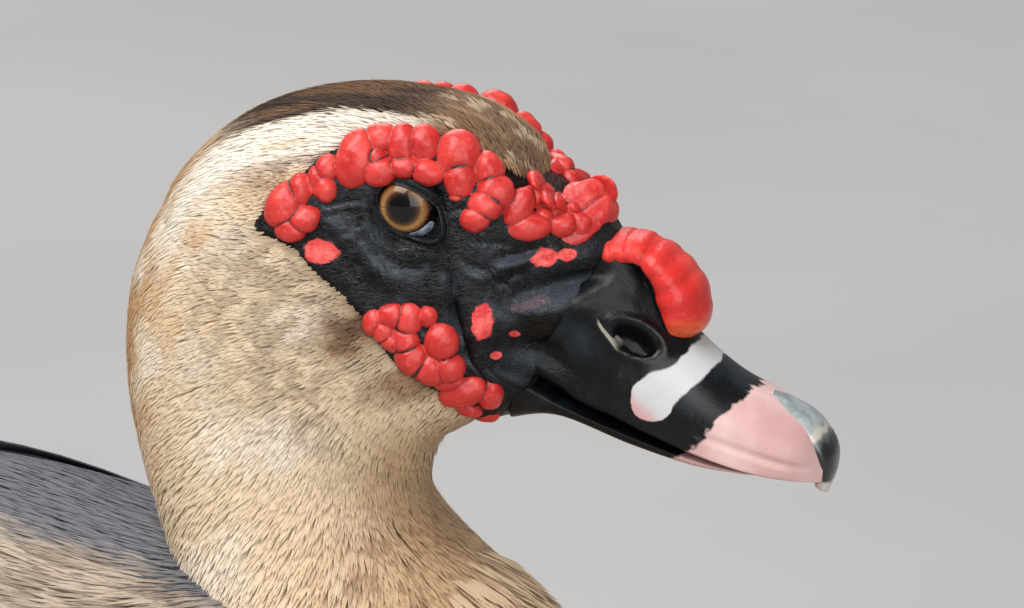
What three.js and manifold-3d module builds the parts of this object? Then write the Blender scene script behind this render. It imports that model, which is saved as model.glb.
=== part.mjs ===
// A muscovy drake at life size, standing at rest with the neck drawn in.
// Millimetres, +Z up, the bill towards +X. Places are laid out from the point midway between the eyes,
// and at the end the whole group is set with its soles at zero and its box centred on the origin.
import * as THREE from 'three';
import { mergeVertices } from 'three/addons/utils/BufferGeometryUtils.js';
import Module from 'manifold-3d';

const wasm = await Module();
wasm.setup();

// Driving dimensions
const GAP = 0.3; // left between pieces that meet
const SLIVER = 0.1; // smaller facets than this are merged into their neighbours
const FLOOR = -345; // the ground, below the eyes

// Head and neck in side view, from the bill root over the crown and down to the crop. Each row is one
// oval section: [back x, back z, throat x, throat z, half width, squareness]. A section with a
// squareness of 2 is an ellipse, and a higher one has fuller corners. A row's number is its station.
const HEAD_NECK = {
  waist: 0.5,
  rows: [
    [41, -7, 21, -48, 12.5, 2.7], // 0, bill root
    [28, 1.8, 15, -49.5, 17.5, 3.2], // 1, tip of the feathered forehead
    [19, 12.6, 9.5, -51, 20.8, 3.9],
    [5, 18.8, 5, -53, 22.3, 4.2], // 3, over the eye
    [-18, 19.8, 2, -55.5, 23.5, 3.6], // 4, crown
    [-41, 12.6, 0, -58.5, 25.5, 2.7],
    [-57.4, -3.3, -0.5, -62, 27.5, 2.3], // 6, back of the head
    [-66.4, -22.7, 0, -66, 29, 2.2],
    [-68, -42, 3, -72, 29.5, 2.15], // 8, nape
    [-65.4, -60, 11, -81, 30.5, 2.1],
    [-60, -78, 25.5, -93, 34, 2.1],
    [-54, -100, 42, -112, 42, 2.1],
    [-50, -130, 50, -142, 46, 2.1], // 12, root of the neck, inside the breast
  ],
};

// The torso from the breast to the tail root: [x, back z, belly z, half width].
const bodyRow = ([x, back, belly, half]) => [x, back, x, belly, half, 2.25];
const TORSO = {
  waist: 0.46,
  rows: [
    [67, -158, -164, 4], // front of the breast
    [61, -133, -193, 34],
    [44, -114, -221, 59],
    [8, -103, -245, 81],
    [-38, -97, -258, 92], // shoulders
    [-75, -84, -262, 96],
    [-115, -74, -262, 97], // highest point of the back
    [-180, -78, -257, 95],
    [-240, -88, -242, 87],
    [-295, -101, -217, 69],
    [-345, -113, -185, 47], // tail root
    [-385, -125, -160, 29],
    [-398, -138, -150, 10],
  ].map(bodyRow),
};
const TAIL_CUT = -352; // where the tail parts from the torso

// The bed that the folded wing lies on, a little outside the torso, in the same columns.
const WING_BED = {
  waist: 0.46,
  rows: [
    [34, -110, -222, 70],
    [-8, -94, -240, 92],
    [-60, -80, -248, 103],
    [-115, -68, -248, 106],
    [-180, -71, -243, 105],
    [-240, -80, -226, 98],
    [-300, -90, -202, 81],
    [-350, -97, -179, 63],
    [-400, -102, -158, 45],
    [-440, -105, -146, 32],
  ].map(bodyRow),
};

// The fleshy base of the folded wing: front edge, how far its ends lie behind its middle, rear edge,
// upper and lower turn round the body in degrees from the ridge of the back, its height over the bed
// in front and behind, and how deep it goes before the torso is cut out of it.
const WING_BASE = { front: 24, bow: 34, rear: -172, middle: 72, upper: 36, lower: 105, top: [1.2, -3.6], deep: 3 };

// Tiers of wing feathers, each lying over the next. root and tip hold [x, turn] of the uppermost and
// the lowest feather. bow is how far the tier's middle lies forward of its ends, sunk the depth of the
// roots below the bed, slope the rise from there and step how far each feather lies below the one above.
const WING_TIERS = [
  { count: 5, root: [[-14, 46], [-14, 97]], tip: [[-84, 45], [-84, 93]], bow: 20, sunk: 0.6, slope: 0.078, width: 30, roll: 3.4, across: 1 },
  { count: 6, root: [[-62, 46], [-62, 100]], tip: [[-136, 44], [-136, 95]], bow: 14, sunk: 1.6, slope: 0.075, width: 28, roll: 3.3, across: 1 },
  { count: 6, root: [[-106, 46], [-106, 101]], tip: [[-206, 43], [-192, 95]], bow: 6, sunk: 3.4, slope: 0.06, width: 28, roll: 3.3, across: 1 },
  { count: 6, root: [[-150, 46], [-150, 96]], tip: [[-342, 34], [-264, 88]], bow: 0, sunk: 4.4, slope: 0.034, width: 31, roll: 2.9, along: 4 },
  { count: 4, root: [[-160, 74], [-160, 92]], tip: [[-356, 46], [-434, 61]], bow: 0, sunk: 5, slope: 0.004, width: 21, step: 1.7, along: 5, across: 1, thick: 0.6 },
];

// Shoulder feathers, which lie along the upper edge of the wing, laid out over the torso.
const SCAPULAR_TIERS = [
  { count: 3, root: [[-48, 10], [-42, 27]], tip: [[-122, 9], [-112, 26]], bow: 0, sunk: 1.6, slope: 0.07, width: 21, roll: 2 },
  { count: 3, root: [[-98, 9], [-92, 26]], tip: [[-190, 8], [-178, 23]], bow: 0, sunk: 1.6, slope: 0.06, width: 21, roll: 2 },
];

const TAIL = {
  pairs: 7,
  root: [-366, -129], // x and z of the quills in the middle
  length: 152,
  shorten: 2.6, // each pair against the one inside it
  fan: 3.9, // degrees from one feather to the next
  drop: 1.05, // each feather below the one before it
  width: 32,
  coverts: { above: 5, below: 5, length: 66, width: 22 },
};

// Flat pointed feathers of the crest, in rows from the front of the crown to the back of the head:
// [station of the roots, feathers in the row, degrees to either side of the ridge, height of the tips].
const CREST = {
  rows: [[2.5, 2, 11, 0.8], [3.3, 3, 20, 1.3], [4.1, 4, 37, 2.2], [4.95, 5, 52, 2.6]],
  length: 1.3, // in stations
  sunk: 1,
  width: 9.5,
};

const EYE = { radius: 8.5, side: 14.6 }; // eyeball, and its centre's distance from the middle
const ORBIT = { radius: 16, deep: 2.6 }; // the shallow hollow that the eye lies in
const EYELID = { long: 7.5, high: 7, thick: 1.25, side: 20.3, low: 0.9 };

// The bare face in side view, from the forehead round behind the eye and down to the chin.
const FACE_OUTLINE = [
  [28.5, 1.5], [22.5, 1], [17, 7], [9, 9.5], [-4, 10], [-12, 7.5], [-20, 3], [-27, -0.5], [-29, -4.5],
  [-23.5, -8.4], [-16.4, -15.7], [-7.4, -24.2], [-4.2, -29.6], [0, -35], [7.3, -39.6], [11.6, -45.5],
  [17, -62], [62, -62], [62, 12],
];

// The red caruncles, as bulbs on the right side of the head: [station, turn from the ridge, radius].
const BROW_BULBS = [
  [4.7, 64, 3], [4.46, 62, 2.7], [4.55, 73, 3.5], [4.17, 63, 3.3], [3.8, 54, 3.8], [3.78, 65, 3],
  [3.56, 47, 3.2], [3.48, 60, 3.5], [3.3, 47, 3], [3.17, 60, 3.3], [3.04, 46, 3.2], [2.67, 45, 3.9],
  [2.56, 59, 3.5], [2.12, 46, 3.2], [1.93, 57, 3.6], [2.1, 71, 3], [1.37, 54, 3.4], [1.12, 58, 2.7],
  [1.2, 31, 2.9], [0.93, 42, 2.6], [0.9, 27, 2.4], [0.6, 35, 3], [0.6, 19, 2.7], [0.42, 7, 4.2],
];
const CHEEK_BULBS = [
  [4.0, 92, 2.3], [3.55, 93, 3], [3.5, 99, 3.7], [3.1, 104, 3.5], [2.66, 98, 3.2], [2.5, 106, 3.2],
  [2.13, 114, 2.9], [1.62, 119, 2.6], [1.05, 122, 2.7], [1.5, 131, 2.4],
];
// The low fold that the bulbs of a group stand on: [station, turn], and its radius.
const BROW_FOLD = {
  radius: 1.9,
  line: [[4.7, 65], [4.46, 64], [4.17, 63], [3.78, 62], [3.48, 58], [3.17, 57], [2.6, 53], [1.93, 57],
    [1.37, 54], [0.95, 42], [0.6, 27], [0.42, 9]],
};
const CHEEK_FOLD = {
  radius: 1.7,
  line: [[4, 92], [3.5, 96], [3.1, 104], [2.6, 104], [2.13, 113], [1.62, 120], [1.05, 123]],
};
const BULB = { wide: 1.14, sunk: 0.12 }; // spread over the skin, and depth, as shares of the radius

// The upper bill: [ridge x, ridge z, cutting edge x, cutting edge z, half width, squareness].
const UPPER_BILL = {
  waist: 0.14,
  rows: [
    [43, -6, 20, -37, 13, 2.4],
    [49, -16, 33, -43.5, 13.5, 2.4],
    [56, -27, 47, -49, 13.6, 2.4],
    [66, -36, 60, -53.6, 13.8, 2.4],
    [77, -41.8, 72, -56.6, 13.8, 2.4],
    [83.5, -45.8, 80.5, -58, 11.5, 2.3],
    [87.4, -51.5, 86.2, -59, 6, 2.2],
  ],
};
const LOWER_BILL = {
  waist: 0.75,
  rows: [
    [22, -37, 18.5, -49.5, 12, 2.3],
    [33, -43.5, 30, -47.6, 12, 2.3],
    [47, -49, 45.5, -52.8, 11.5, 2.3],
    [60, -53.6, 59, -57, 11, 2.3],
    [70, -56.3, 69.5, -59, 9.5, 2.3],
    [78, -57.8, 77.8, -59.4, 6, 2.3],
  ],
};
const NAIL = {
  waist: 0.5,
  rows: [
    [74.5, -40.6, 74, -42.8, 2.5, 2.2],
    [79, -42.4, 77.5, -46, 5, 2.2],
    [84, -45.4, 81.5, -50, 6.2, 2.2],
    [88, -51, 84, -54, 6.2, 2.2],
    [88.4, -56, 84.5, -57.5, 5, 2.2],
    [86.6, -61.4, 84, -60, 2.4, 2.2],
  ],
};
const NOSTRIL = { x: 46, y: 12.8, z: -29, long: 5, high: 2.3, deep: 3.6, tilt: 0.55 };
// The knob over the nostrils, as rings along its middle line: [x, z, radius].
const KNOB = [[39.6, -11, 2.2], [43, -13.2, 4.8], [47, -15.4, 7], [51, -19, 9], [53.8, -24, 8.9], [55, -30, 4.6]];

// The planes that part the head from the neck and the bill from the face.
const NECK_PLANE = { nape: [-62, -14], throat: [-0.4, -60] };
const BILL_PLANE = { ridge: [41, -7], chin: [21, -48] };

const LEG = {
  hip: [-128, 48, -214],
  hock: [-160, 48, -276],
  ankle: [-136, 48, -330],
  thigh: [34, 13], // at the hip and at the hock
  shank: [7.4, 5.4, 6.4], // at the hock, half way and at the ankle
  stride: 16, // the left foot stands this far behind the right one
};
const TOES = [
  { length: 62, turn: 20 }, // inner
  { length: 82, turn: -2 }, // middle
  { length: 78, turn: -25 }, // outer
];
const TOE = { root: 5, tip: 3.3, rise: 3.2, ahead: 4 };
const HIND_TOE = { length: 21, turn: 150, rise: 9 };
const CLAW = { length: 11, root: 2.4, tip: 0.6 };
const WEB = { thick: 1.5, clear: 0.4, scallop: 0.16 };

// Materials
const finish = (color, roughness) => new THREE.MeshStandardMaterial({ color, roughness, metalness: 0 });
const buff = finish(0xbfa98a, 0.9);
const fawn = finish(0x9a8571, 0.9);
const slate = finish(0x70737c, 0.7);
const black = finish(0x17191b, 0.5);
const red = finish(0xd8372d, 0.45);
const pink = finish(0xd9a9a2, 0.4);
const horn = finish(0x2b2f31, 0.35);
const amber = finish(0x8a5a1e, 0.1);
const scaled = finish(0x2f2f2c, 0.6);

const { lerp, clamp, degToRad } = THREE.MathUtils;

// A Catmull-Rom line through the rows of a table, with t from 0 at the first row to 1 at the last.
function between(rows, t) {
  const s = clamp(t, 0, 1) * (rows.length - 1);
  const i = Math.min(Math.floor(s), rows.length - 2);
  const f = s - i;
  const at = (k) => rows[clamp(k, 0, rows.length - 1)];
  return rows[0].map((_, c) => {
    const [p, q, r, u] = [at(i - 1)[c], at(i)[c], at(i + 1)[c], at(i + 2)[c]];
    return q + 0.5 * f * (r - p + f * (2 * p - 5 * q + 4 * r - u + f * (3 * (q - r) + u - p)));
  });
}

// A point on a form's skin, out millimetres above it. turn is 0 on the ridge and a quarter turn on the
// left side.
function skin(form, t, turn, out = 0) {
  const [bx, bz, vx, vz, half, square] = between(form.rows, t);
  const up = new THREE.Vector3(bx - vx, 0, bz - vz);
  const depth = up.length();
  const bulge = (v) => Math.sign(v) * Math.abs(v) ** (2 / square);
  const rise = bulge(Math.cos(turn));
  const reach = (rise > 0 ? 1 - form.waist : form.waist) * depth + out;
  return new THREE.Vector3(vx, bulge(Math.sin(turn)) * (half + out), vz)
    .addScaledVector(up.normalize(), form.waist * depth + rise * reach);
}

// The middle of a form's section.
function core(form, t) {
  const [bx, bz, vx, vz] = between(form.rows, t);
  return new THREE.Vector3(lerp(vx, bx, form.waist), 0, lerp(vz, bz, form.waist));
}

// Half the width of the head at a place seen from the side.
function halfWidth(form, x, z) {
  const across = (t) => {
    const [bx, bz, vx, vz] = between(form.rows, t);
    return (bx - vx) * (z - vz) - (bz - vz) * (x - vx);
  };
  const t = search(across);
  const [bx, bz, vx, vz, half, square] = between(form.rows, t);
  const depth = Math.hypot(bx - vx, bz - vz);
  const level = ((x - vx) * (bx - vx) + (z - vz) * (bz - vz)) / depth ** 2;
  const reach = level > form.waist ? 1 - form.waist : form.waist;
  const rise = Math.min(1, Math.abs(level - form.waist) / reach);
  return half * (1 - rise ** square) ** (1 / square);
}

// Where a function of t from 0 to 1 changes sign.
function search(value) {
  let [low, high] = [0, 1];
  const sign = Math.sign(value(low));
  for (let i = 0; i < 36; i++) {
    const mid = (low + high) / 2;
    if (Math.sign(value(mid)) === sign) low = mid;
    else high = mid;
  }
  return low;
}

// A closed three.js mesh as a solid for cutting and joining.
function solid(geometry) {
  const bare = new THREE.BufferGeometry();
  bare.setAttribute('position', geometry.getAttribute('position'));
  bare.setIndex(geometry.index);
  const merged = mergeVertices(bare, 1e-3);
  const build = (triVerts) => new wasm.Manifold(
    new wasm.Mesh({ numProp: 3, vertProperties: merged.attributes.position.array, triVerts }));
  const triVerts = new Uint32Array(merged.index.array);
  const made = build(triVerts);
  if (made.volume() > 0) return made;
  for (let i = 0; i < triVerts.length; i += 3) {
    [triVerts[i + 1], triVerts[i + 2]] = [triVerts[i + 2], triVerts[i + 1]];
  }
  return build(triVerts);
}

const join = (parts) => wasm.Manifold.union(parts);

// Only the largest closed surface of a solid.
const largest = (made) => made.decompose().reduce((a, b) => (b.volume() > a.volume() ? b : a));

function geometryOf(made) {
  const m = made.getMesh();
  const geometry = new THREE.BufferGeometry();
  geometry.setAttribute('position', new THREE.BufferAttribute(m.vertProperties, m.numProp));
  geometry.setIndex(new THREE.BufferAttribute(m.triVerts, 1));
  return geometry;
}

// A sphere whose rings are laid along a line: the first and the last close the ends.
function alongRings(sides, rings, place) {
  const geometry = new THREE.SphereGeometry(1, sides, rings);
  const uv = geometry.getAttribute('uv');
  const position = geometry.getAttribute('position');
  for (let i = 0; i < position.count; i++) {
    const ring = Math.round((1 - uv.getY(i)) * rings);
    const t = clamp((ring - 1) / (rings - 2), 0, 1);
    const p = place(t, uv.getX(i) * 2 * Math.PI, ring === 0 || ring === rings);
    position.setXYZ(i, p.x, p.y, p.z);
  }
  return solid(geometry);
}

const body = (form, sides, rings, out = 0) => alongRings(sides, rings,
  (t, turn, end) => (end ? core(form, t) : skin(form, t, turn, out)));

// A round limb with a smooth middle line through its points.
function taper(points, radii, sides, rings) {
  const line = new THREE.CatmullRomCurve3(points.map((p) => new THREE.Vector3(...p)));
  const widths = radii.map((r) => [r]);
  return alongRings(sides, rings, (t, turn, end) => {
    const centre = line.getPoint(t);
    if (end) return centre;
    const ahead = line.getTangent(t);
    const across = new THREE.Vector3(0, 1, 0).cross(ahead).normalize();
    const over = ahead.clone().cross(across);
    const [r] = between(widths, t);
    return centre.addScaledVector(across, r * Math.cos(turn)).addScaledVector(over, r * Math.sin(turn));
  });
}

// A thin plate whose two faces are split alike. place(a, b, face) gives a point for a and b from 0 to 1
// along and across the plate, and face 1 on top or -1 below.
function plate(along, across, place) {
  const points = [];
  const faces = [];
  const id = (i, j, top) => (i * (across + 1) + j) * 2 + (top ? 0 : 1);
  for (let i = 0; i <= along; i++) {
    for (let j = 0; j <= across; j++) {
      for (const face of [1, -1]) points.push(...place(i / along, j / across, face).toArray());
    }
  }
  const quad = (a, b, c, d) => faces.push(a, b, c, a, c, d);
  for (let i = 0; i < along; i++) {
    for (let j = 0; j < across; j++) {
      quad(id(i, j, true), id(i + 1, j, true), id(i + 1, j + 1, true), id(i, j + 1, true));
      faces.push(id(i, j), id(i + 1, j + 1), id(i + 1, j), id(i, j), id(i, j + 1), id(i + 1, j + 1));
    }
    quad(id(i, 0), id(i + 1, 0), id(i + 1, 0, true), id(i, 0, true));
    quad(id(i + 1, across), id(i, across), id(i, across, true), id(i + 1, across, true));
  }
  for (let j = 0; j < across; j++) {
    quad(id(0, j + 1), id(0, j), id(0, j, true), id(0, j + 1, true));
    quad(id(along, j), id(along, j + 1), id(along, j + 1, true), id(along, j, true));
  }
  const geometry = new THREE.BufferGeometry();
  geometry.setAttribute('position', new THREE.BufferAttribute(new Float32Array(points), 3));
  geometry.setIndex(faces);
  return solid(geometry);
}

// One feather as a plate with a round tip. at(f, side, height) gives the point at f from root to tip,
// side millimetres to the left of its middle line and height above it. roll is how far its right edge
// stands over its left one.
function vane(at, { width, roll = 0, point = 0.3, thick = 0.75, along = 3, across = 2 }) {
  return plate(along, across, (a, b, face) => {
    const f = 1 - (1 - a) ** 1.5;
    const taken = Math.max(0, (f - 0.55) / 0.45);
    const share = (0.78 + 0.22 * Math.min(1, 4 * f)) * lerp(1, point, taken ** 2);
    return at(f, (b - 0.5) * width * share, (0.5 - b) * roll * share + face * thick / 2);
  });
}

// Everything on one side of the plane through two profile points, at a distance from it.
function beyond(a, b, distance = 0) {
  const reach = 500;
  const normal = new THREE.Vector3(b[1] - a[1], 0, a[0] - b[0]).normalize();
  const turn = new THREE.Quaternion().setFromUnitVectors(new THREE.Vector3(0, 0, 1), normal);
  return solid(new THREE.BoxGeometry(2 * reach, 2 * reach, 2 * reach)
    .translate(0, 0, reach + distance)
    .applyQuaternion(turn)
    .translate((a[0] + b[0]) / 2, 0, (a[1] + b[1]) / 2));
}
const above = (z) => solid(new THREE.BoxGeometry(1000, 1000, 400).translate(0, 0, z + 200));
const below = (z) => solid(new THREE.BoxGeometry(1000, 1000, 400).translate(0, 0, z - 200));
const leftHalf = solid(new THREE.BoxGeometry(1000, 500, 1000).translate(0, 250 - GAP / 2, 0));

// A side outline cut right through the head, grown by a margin.
function sideCut(outline, margin) {
  const shape = new THREE.Shape(outline.map(([x, z]) => new THREE.Vector2(x, z)));
  const deep = 45;
  const geometry = new THREE.ExtrudeGeometry(shape, {
    depth: 2 * deep, steps: 1, bevelEnabled: margin > 0, bevelSize: margin, bevelThickness: 0.05,
    bevelSegments: 1,
  });
  return solid(geometry.translate(0, 0, -deep).rotateX(Math.PI / 2));
}

function ball(x, y, z, radius, sides = 10, rings = 7) {
  return solid(new THREE.SphereGeometry(radius, sides, rings).rotateX(Math.PI / 2).translate(x, y, z));
}

const bothSides = (make) => join([-1, 1].map(make));

const duck = new THREE.Group();
const rightSide = new THREE.Group();
const leftSide = new THREE.Group();
leftSide.scale.y = -1;
duck.add(rightSide, leftSide);

function add(name, made, material, group = duck) {
  const mesh = new THREE.Mesh(geometryOf(largest(largest(made).simplify(SLIVER))), material);
  mesh.name = name;
  group.add(mesh);
  return mesh;
}

// A right-hand piece, with y below zero, and its mirror image.
function addPair(name, made, material) {
  add(`${name}_right`, made, material, rightSide);
  add(`${name}_left`, made, material, leftSide);
}

// Where a surface of the body is cut across at x, as a share of its length.
const stationAt = (form, x) => search((t) => between(form.rows, t)[0] - x);

// A point near a form's skin, side millimetres round from the turn towards the left.
function beside(form, t, turn, side, height) {
  const radius = skin(form, t, turn - 0.05).distanceTo(skin(form, t, turn + 0.05)) / 0.1;
  return skin(form, t, turn + side / radius, height);
}

// The feathers of one tier on the right side, shingled with each upper one over the next lower one.
function tier(form, { count, root, tip, bow, sunk, slope, step = 0, ...shape }) {
  return [...Array(count).keys()].map((k) => {
    const s = k / (count - 1);
    const end = (pair, i) => lerp(pair[0][i], pair[1][i], s);
    const forward = bow * (1 - (2 * s - 1) ** 2);
    return vane((f, side, height) => {
      const x = lerp(end(root, 0), end(tip, 0), f) + forward;
      const turn = lerp(end(root, 1), end(tip, 1), f);
      const lift = slope * (root[0][0] - x) - sunk - step * k;
      return beside(form, stationAt(form, x), -degToRad(turn), side, lift + height);
    }, shape);
  });
}

const torsoForm = body(TORSO, 20, 22);
const torsoRoom = body(TORSO, 20, 22, GAP);
const headNeck = body(HEAD_NECK, 20, 28);
const headRoom = body(HEAD_NECK, 20, 28, GAP);
const knob = taper(KNOB.map(([x, z]) => [x, 0, z]), KNOB.map(([, , r]) => r), 12, 11);
const knobRoom = taper(KNOB.map(([x, z]) => [x, 0, z]), KNOB.map(([, , r]) => r + GAP), 12, 11);
const { nape, throat } = NECK_PLANE;
const { ridge, chin } = BILL_PLANE;
const tailCut = [[TAIL_CUT, 0], [TAIL_CUT, -10]];

function makeTorso() {
  const scapulars = SCAPULAR_TIERS.flatMap((row) => tier(TORSO, row));
  const mirrored = scapulars.map((made) => made.mirror([0, 1, 0]));
  return join([torsoForm.subtract(beyond(...tailCut, -GAP / 2)), ...scapulars, ...mirrored]);
}

function makeNeck() {
  return headNeck.subtract(beyond(throat, nape, -GAP / 2)).subtract(torsoRoom);
}

// The flat crest feathers, with their roots in the crown.
function crestFeathers() {
  const last = HEAD_NECK.rows.length - 1;
  return CREST.rows.flatMap(([station, count, spread, rise]) => [...Array(count).keys()].map((k) => {
    const turn = degToRad(spread) * (2 * k / (count - 1) - 1);
    return vane((f, side, height) => {
      const h = lerp(-CREST.sunk, rise, f) + height;
      const t = (station + CREST.length * f) / last;
      return beside(HEAD_NECK, t, turn * lerp(1, 0.9, f), side, h);
    }, { width: CREST.width, point: 0.15, across: 1 });
  }));
}

const orbit = bothSides((side) => {
  const skinAt = halfWidth(HEAD_NECK, 0, 0);
  return ball(0, side * (skinAt + ORBIT.radius - ORBIT.deep), 0, ORBIT.radius, 20, 10);
});
const eyeRoom = bothSides((side) => ball(0, side * EYE.side, 0, EYE.radius + GAP, 14, 9));

function makeHead() {
  const cap = headNeck.subtract(beyond(nape, throat, -GAP / 2)).subtract(sideCut(FACE_OUTLINE, GAP));
  return join([cap, ...crestFeathers()]).subtract(eyeRoom);
}

function makeFace() {
  const lids = bothSides((side) => solid(
    new THREE.TorusGeometry(1, EYELID.thick / EYELID.long, 5, 14)
      .scale(EYELID.long, EYELID.high, EYELID.long)
      .rotateX(Math.PI / 2)
      .translate(0, side * EYELID.side, -EYELID.low)));
  return headNeck.intersect(sideCut(FACE_OUTLINE, 0)).subtract(orbit).add(lids)
    .subtract(beyond(chin, ridge, -GAP / 2)).subtract(eyeRoom);
}

// Bulbs on the right side of the head, each flattened on to the skin and run into its neighbours.
function caruncles(bulbs, { radius, line }) {
  const last = HEAD_NECK.rows.length - 1;
  const points = line.map(([station, degrees]) =>
    skin(HEAD_NECK, station / last, -degToRad(degrees), -0.45 * radius).toArray());
  const fold = taper(points, [0.6 * radius, radius, radius, 0.6 * radius], 5, 13);
  const parts = bulbs.map(([station, degrees, r]) => {
    const turn = -degToRad(degrees);
    const at = (ds, dt, out) => skin(HEAD_NECK, (station + ds) / last, turn + dt, out);
    const along = at(0.05, 0, 0).sub(at(-0.05, 0, 0)).normalize();
    const out = along.clone().cross(at(0, 0.02, 0).sub(at(0, -0.02, 0))).normalize();
    if (out.dot(at(0, 0, 1).sub(at(0, 0, 0))) < 0) out.negate();
    const down = out.clone().cross(along);
    const place = new THREE.Matrix4().makeBasis(along, down, out)
      .setPosition(at(0, 0, 0).addScaledVector(out, -BULB.sunk * r));
    const [sides, rings] = r > 2.8 ? [7, 5] : [6, 4];
    return solid(new THREE.SphereGeometry(r, sides, rings).rotateX(Math.PI / 2)
      .scale(BULB.wide, BULB.wide, 1).applyMatrix4(place));
  });
  return join([fold, ...parts]).subtract(headRoom).subtract(leftHalf);
}

function addBill() {
  const front = beyond(chin, ridge, GAP / 2);
  const upper = body(UPPER_BILL, 14, 11);
  const upperRoom = body(UPPER_BILL, 14, 11, GAP);
  const nostrils = bothSides((side) => solid(
    new THREE.SphereGeometry(1, 8, 6)
      .scale(NOSTRIL.long, NOSTRIL.deep, NOSTRIL.high)
      .rotateY(NOSTRIL.tilt)
      .translate(NOSTRIL.x, side * NOSTRIL.y, NOSTRIL.z)));
  add('bill_upper', upper.intersect(front).subtract(body(NAIL, 9, 8, GAP)).subtract(nostrils), pink);
  add('bill_nail', body(NAIL, 9, 8), horn);
  add('bill_lower', body(LOWER_BILL, 14, 8).intersect(front).subtract(upperRoom), black);
  add('bill_knob', knob.subtract(upperRoom).subtract(headRoom), red);
}

// The fleshy base of the folded wing, down to the torso, with its tiers of feathers.
function makeWing() {
  const { front, bow, rear, middle, upper, lower, top, deep } = WING_BASE;
  const base = plate(8, 5, (a, b, face) => {
    const turn = lerp(upper, lower, b);
    const x = lerp(front - bow * ((turn - middle) / (lower - middle)) ** 2, rear, a);
    const edge = Math.min(1, 5 * a + 0.1, 5 * b, 5 * (1 - b), 8 * (1 - a) + 0.5);
    const low = skin(TORSO, stationAt(TORSO, x), -degToRad(turn), face < 0 ? -deep : 1);
    if (face < 0) return low;
    return skin(WING_BED, stationAt(WING_BED, x), -degToRad(turn), lerp(...top, a)).lerp(low, 1 - edge);
  });
  return join([base, ...WING_TIERS.flatMap((row) => tier(WING_BED, row))]).subtract(torsoRoom);
}

// The tail root with its fan of feathers and the coverts above and below them.
function makeTail() {
  const stump = body(TORSO, 12, 22).intersect(beyond(...tailCut, GAP / 2));
  const [x, z] = TAIL.root;
  const feather = (order) => {
    const side = order % 2 ? -1 : 1;
    const step = Math.floor(order / 2) + 0.5;
    const turn = degToRad(TAIL.fan * step);
    const length = TAIL.length - TAIL.shorten * step;
    return vane((f, off, height) => new THREE.Vector3(
      x - length * f * Math.cos(turn) + side * off * Math.sin(turn),
      side * (2.6 * step + length * f * Math.sin(turn)) - off * Math.cos(turn),
      z - TAIL.drop * order - 9 * f + height), { width: TAIL.width, along: 4, across: 1, point: 0.42 });
  };
  const covert = (k, count, up) => {
    const s = 2 * k / (count - 1) - 1;
    const length = TAIL.coverts.length - 10 * s * s;
    const lift = up > 0 ? 8 - 2.4 * k : -26;
    return vane((f, off, height) => new THREE.Vector3(
      x + 4 - length * f, s * (17 + 9 * f) - off,
      z + lift - (up > 0 ? 5 : -11) * f - 6 * s * s * up + height),
    { width: TAIL.coverts.width, across: 1 });
  };
  const { above: over, below: under } = TAIL.coverts;
  return join([
    stump,
    ...[...Array(2 * TAIL.pairs).keys()].map(feather),
    ...[...Array(over).keys()].map((k) => covert(k, over, 1)),
    ...[...Array(under).keys()].map((k) => covert(k, under, -1)),
  ]);
}

// One leg: a feathered thigh sunk in the belly, the shank, and the webbed foot. side is 1 on the right.
function addLeg(name, side, back) {
  const at = ([x, y, z]) => [x - back, -side * y, z];
  const [hip, hock, ankle] = [at(LEG.hip), at(LEG.hock), at(LEG.ankle)];
  const part = (p, q, f) => p.map((v, i) => lerp(v, q[i], f));
  const cuff = hock[2] - 3;
  const [thick, thin] = LEG.thigh;
  const thigh = taper([hip, part(hip, hock, 0.55), part(hock, ankle, 0.15)], [thick, 0.75 * thick, thin], 12, 7);
  const shank = taper([part(hip, hock, 0.9), part(hock, ankle, 0.5), ankle], LEG.shank, 8, 6);
  add(`thigh_${name}`, thigh.subtract(torsoRoom).subtract(below(cuff)), buff);
  add(`shank_${name}`, shank.subtract(above(cuff - GAP)).subtract(makeFoot(ankle, side, GAP)), scaled);
  add(`foot_${name}`, makeFoot(ankle, side), scaled);
}

function makeFoot([x, y], side, margin = 0) {
  const centre = (toe, f) => {
    const turn = degToRad(toe.turn) * side;
    return [x + TOE.ahead + toe.length * f * Math.cos(turn), y + toe.length * f * Math.sin(turn)];
  };
  const claw = (from, to) => taper(
    [[...from, FLOOR + 3.4], [(from[0] + to[0]) / 2, (from[1] + to[1]) / 2, FLOOR + 3.6], [...to, FLOOR + 1.2]],
    [CLAW.root, 0.8 * CLAW.root, CLAW.tip], 5, 5);
  const toes = TOES.map((toe) => taper(
    [0, 0.33, 0.66, 1].map((f) => [...centre(toe, f), FLOOR + TOE.rise]),
    [TOE.root, 0.86 * TOE.root, 1.15 * TOE.tip, TOE.tip], 6, 6));
  const claws = TOES.map((toe) => claw(centre(toe, 0.97), centre(toe, 1 + CLAW.length / toe.length)));
  const webs = [0, 1].map((k) => plate(3, 4, (a, b, face) => {
    const reach = 0.05 + a * (0.9 - WEB.scallop * Math.sin(Math.PI * b));
    const [p, q] = [centre(TOES[k], reach), centre(TOES[k + 1], reach)];
    return new THREE.Vector3(
      lerp(p[0], q[0], b), lerp(p[1], q[1], b), FLOOR + WEB.clear + (1 + face) * WEB.thick / 2);
  }));
  const heel = taper([[x - 2, y, FLOOR + 15.5], [x + 2, y, FLOOR + 8], [x + 8, y, FLOOR + 4]],
    [6.6 + margin, 7 + margin, 5.4 + margin], 8, 5);
  const turn = degToRad(HIND_TOE.turn) * side;
  const hindAt = (f, z) => [
    x + HIND_TOE.length * f * Math.cos(turn), y + HIND_TOE.length * f * Math.sin(turn), FLOOR + z];
  const hind = taper([hindAt(0, HIND_TOE.rise), hindAt(0.5, 5), hindAt(1, 2.4)], [3.4, 2.9, 0.8], 5, 5);
  return join([...toes, ...webs, ...claws, heel, hind]).subtract(below(FLOOR));
}

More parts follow.
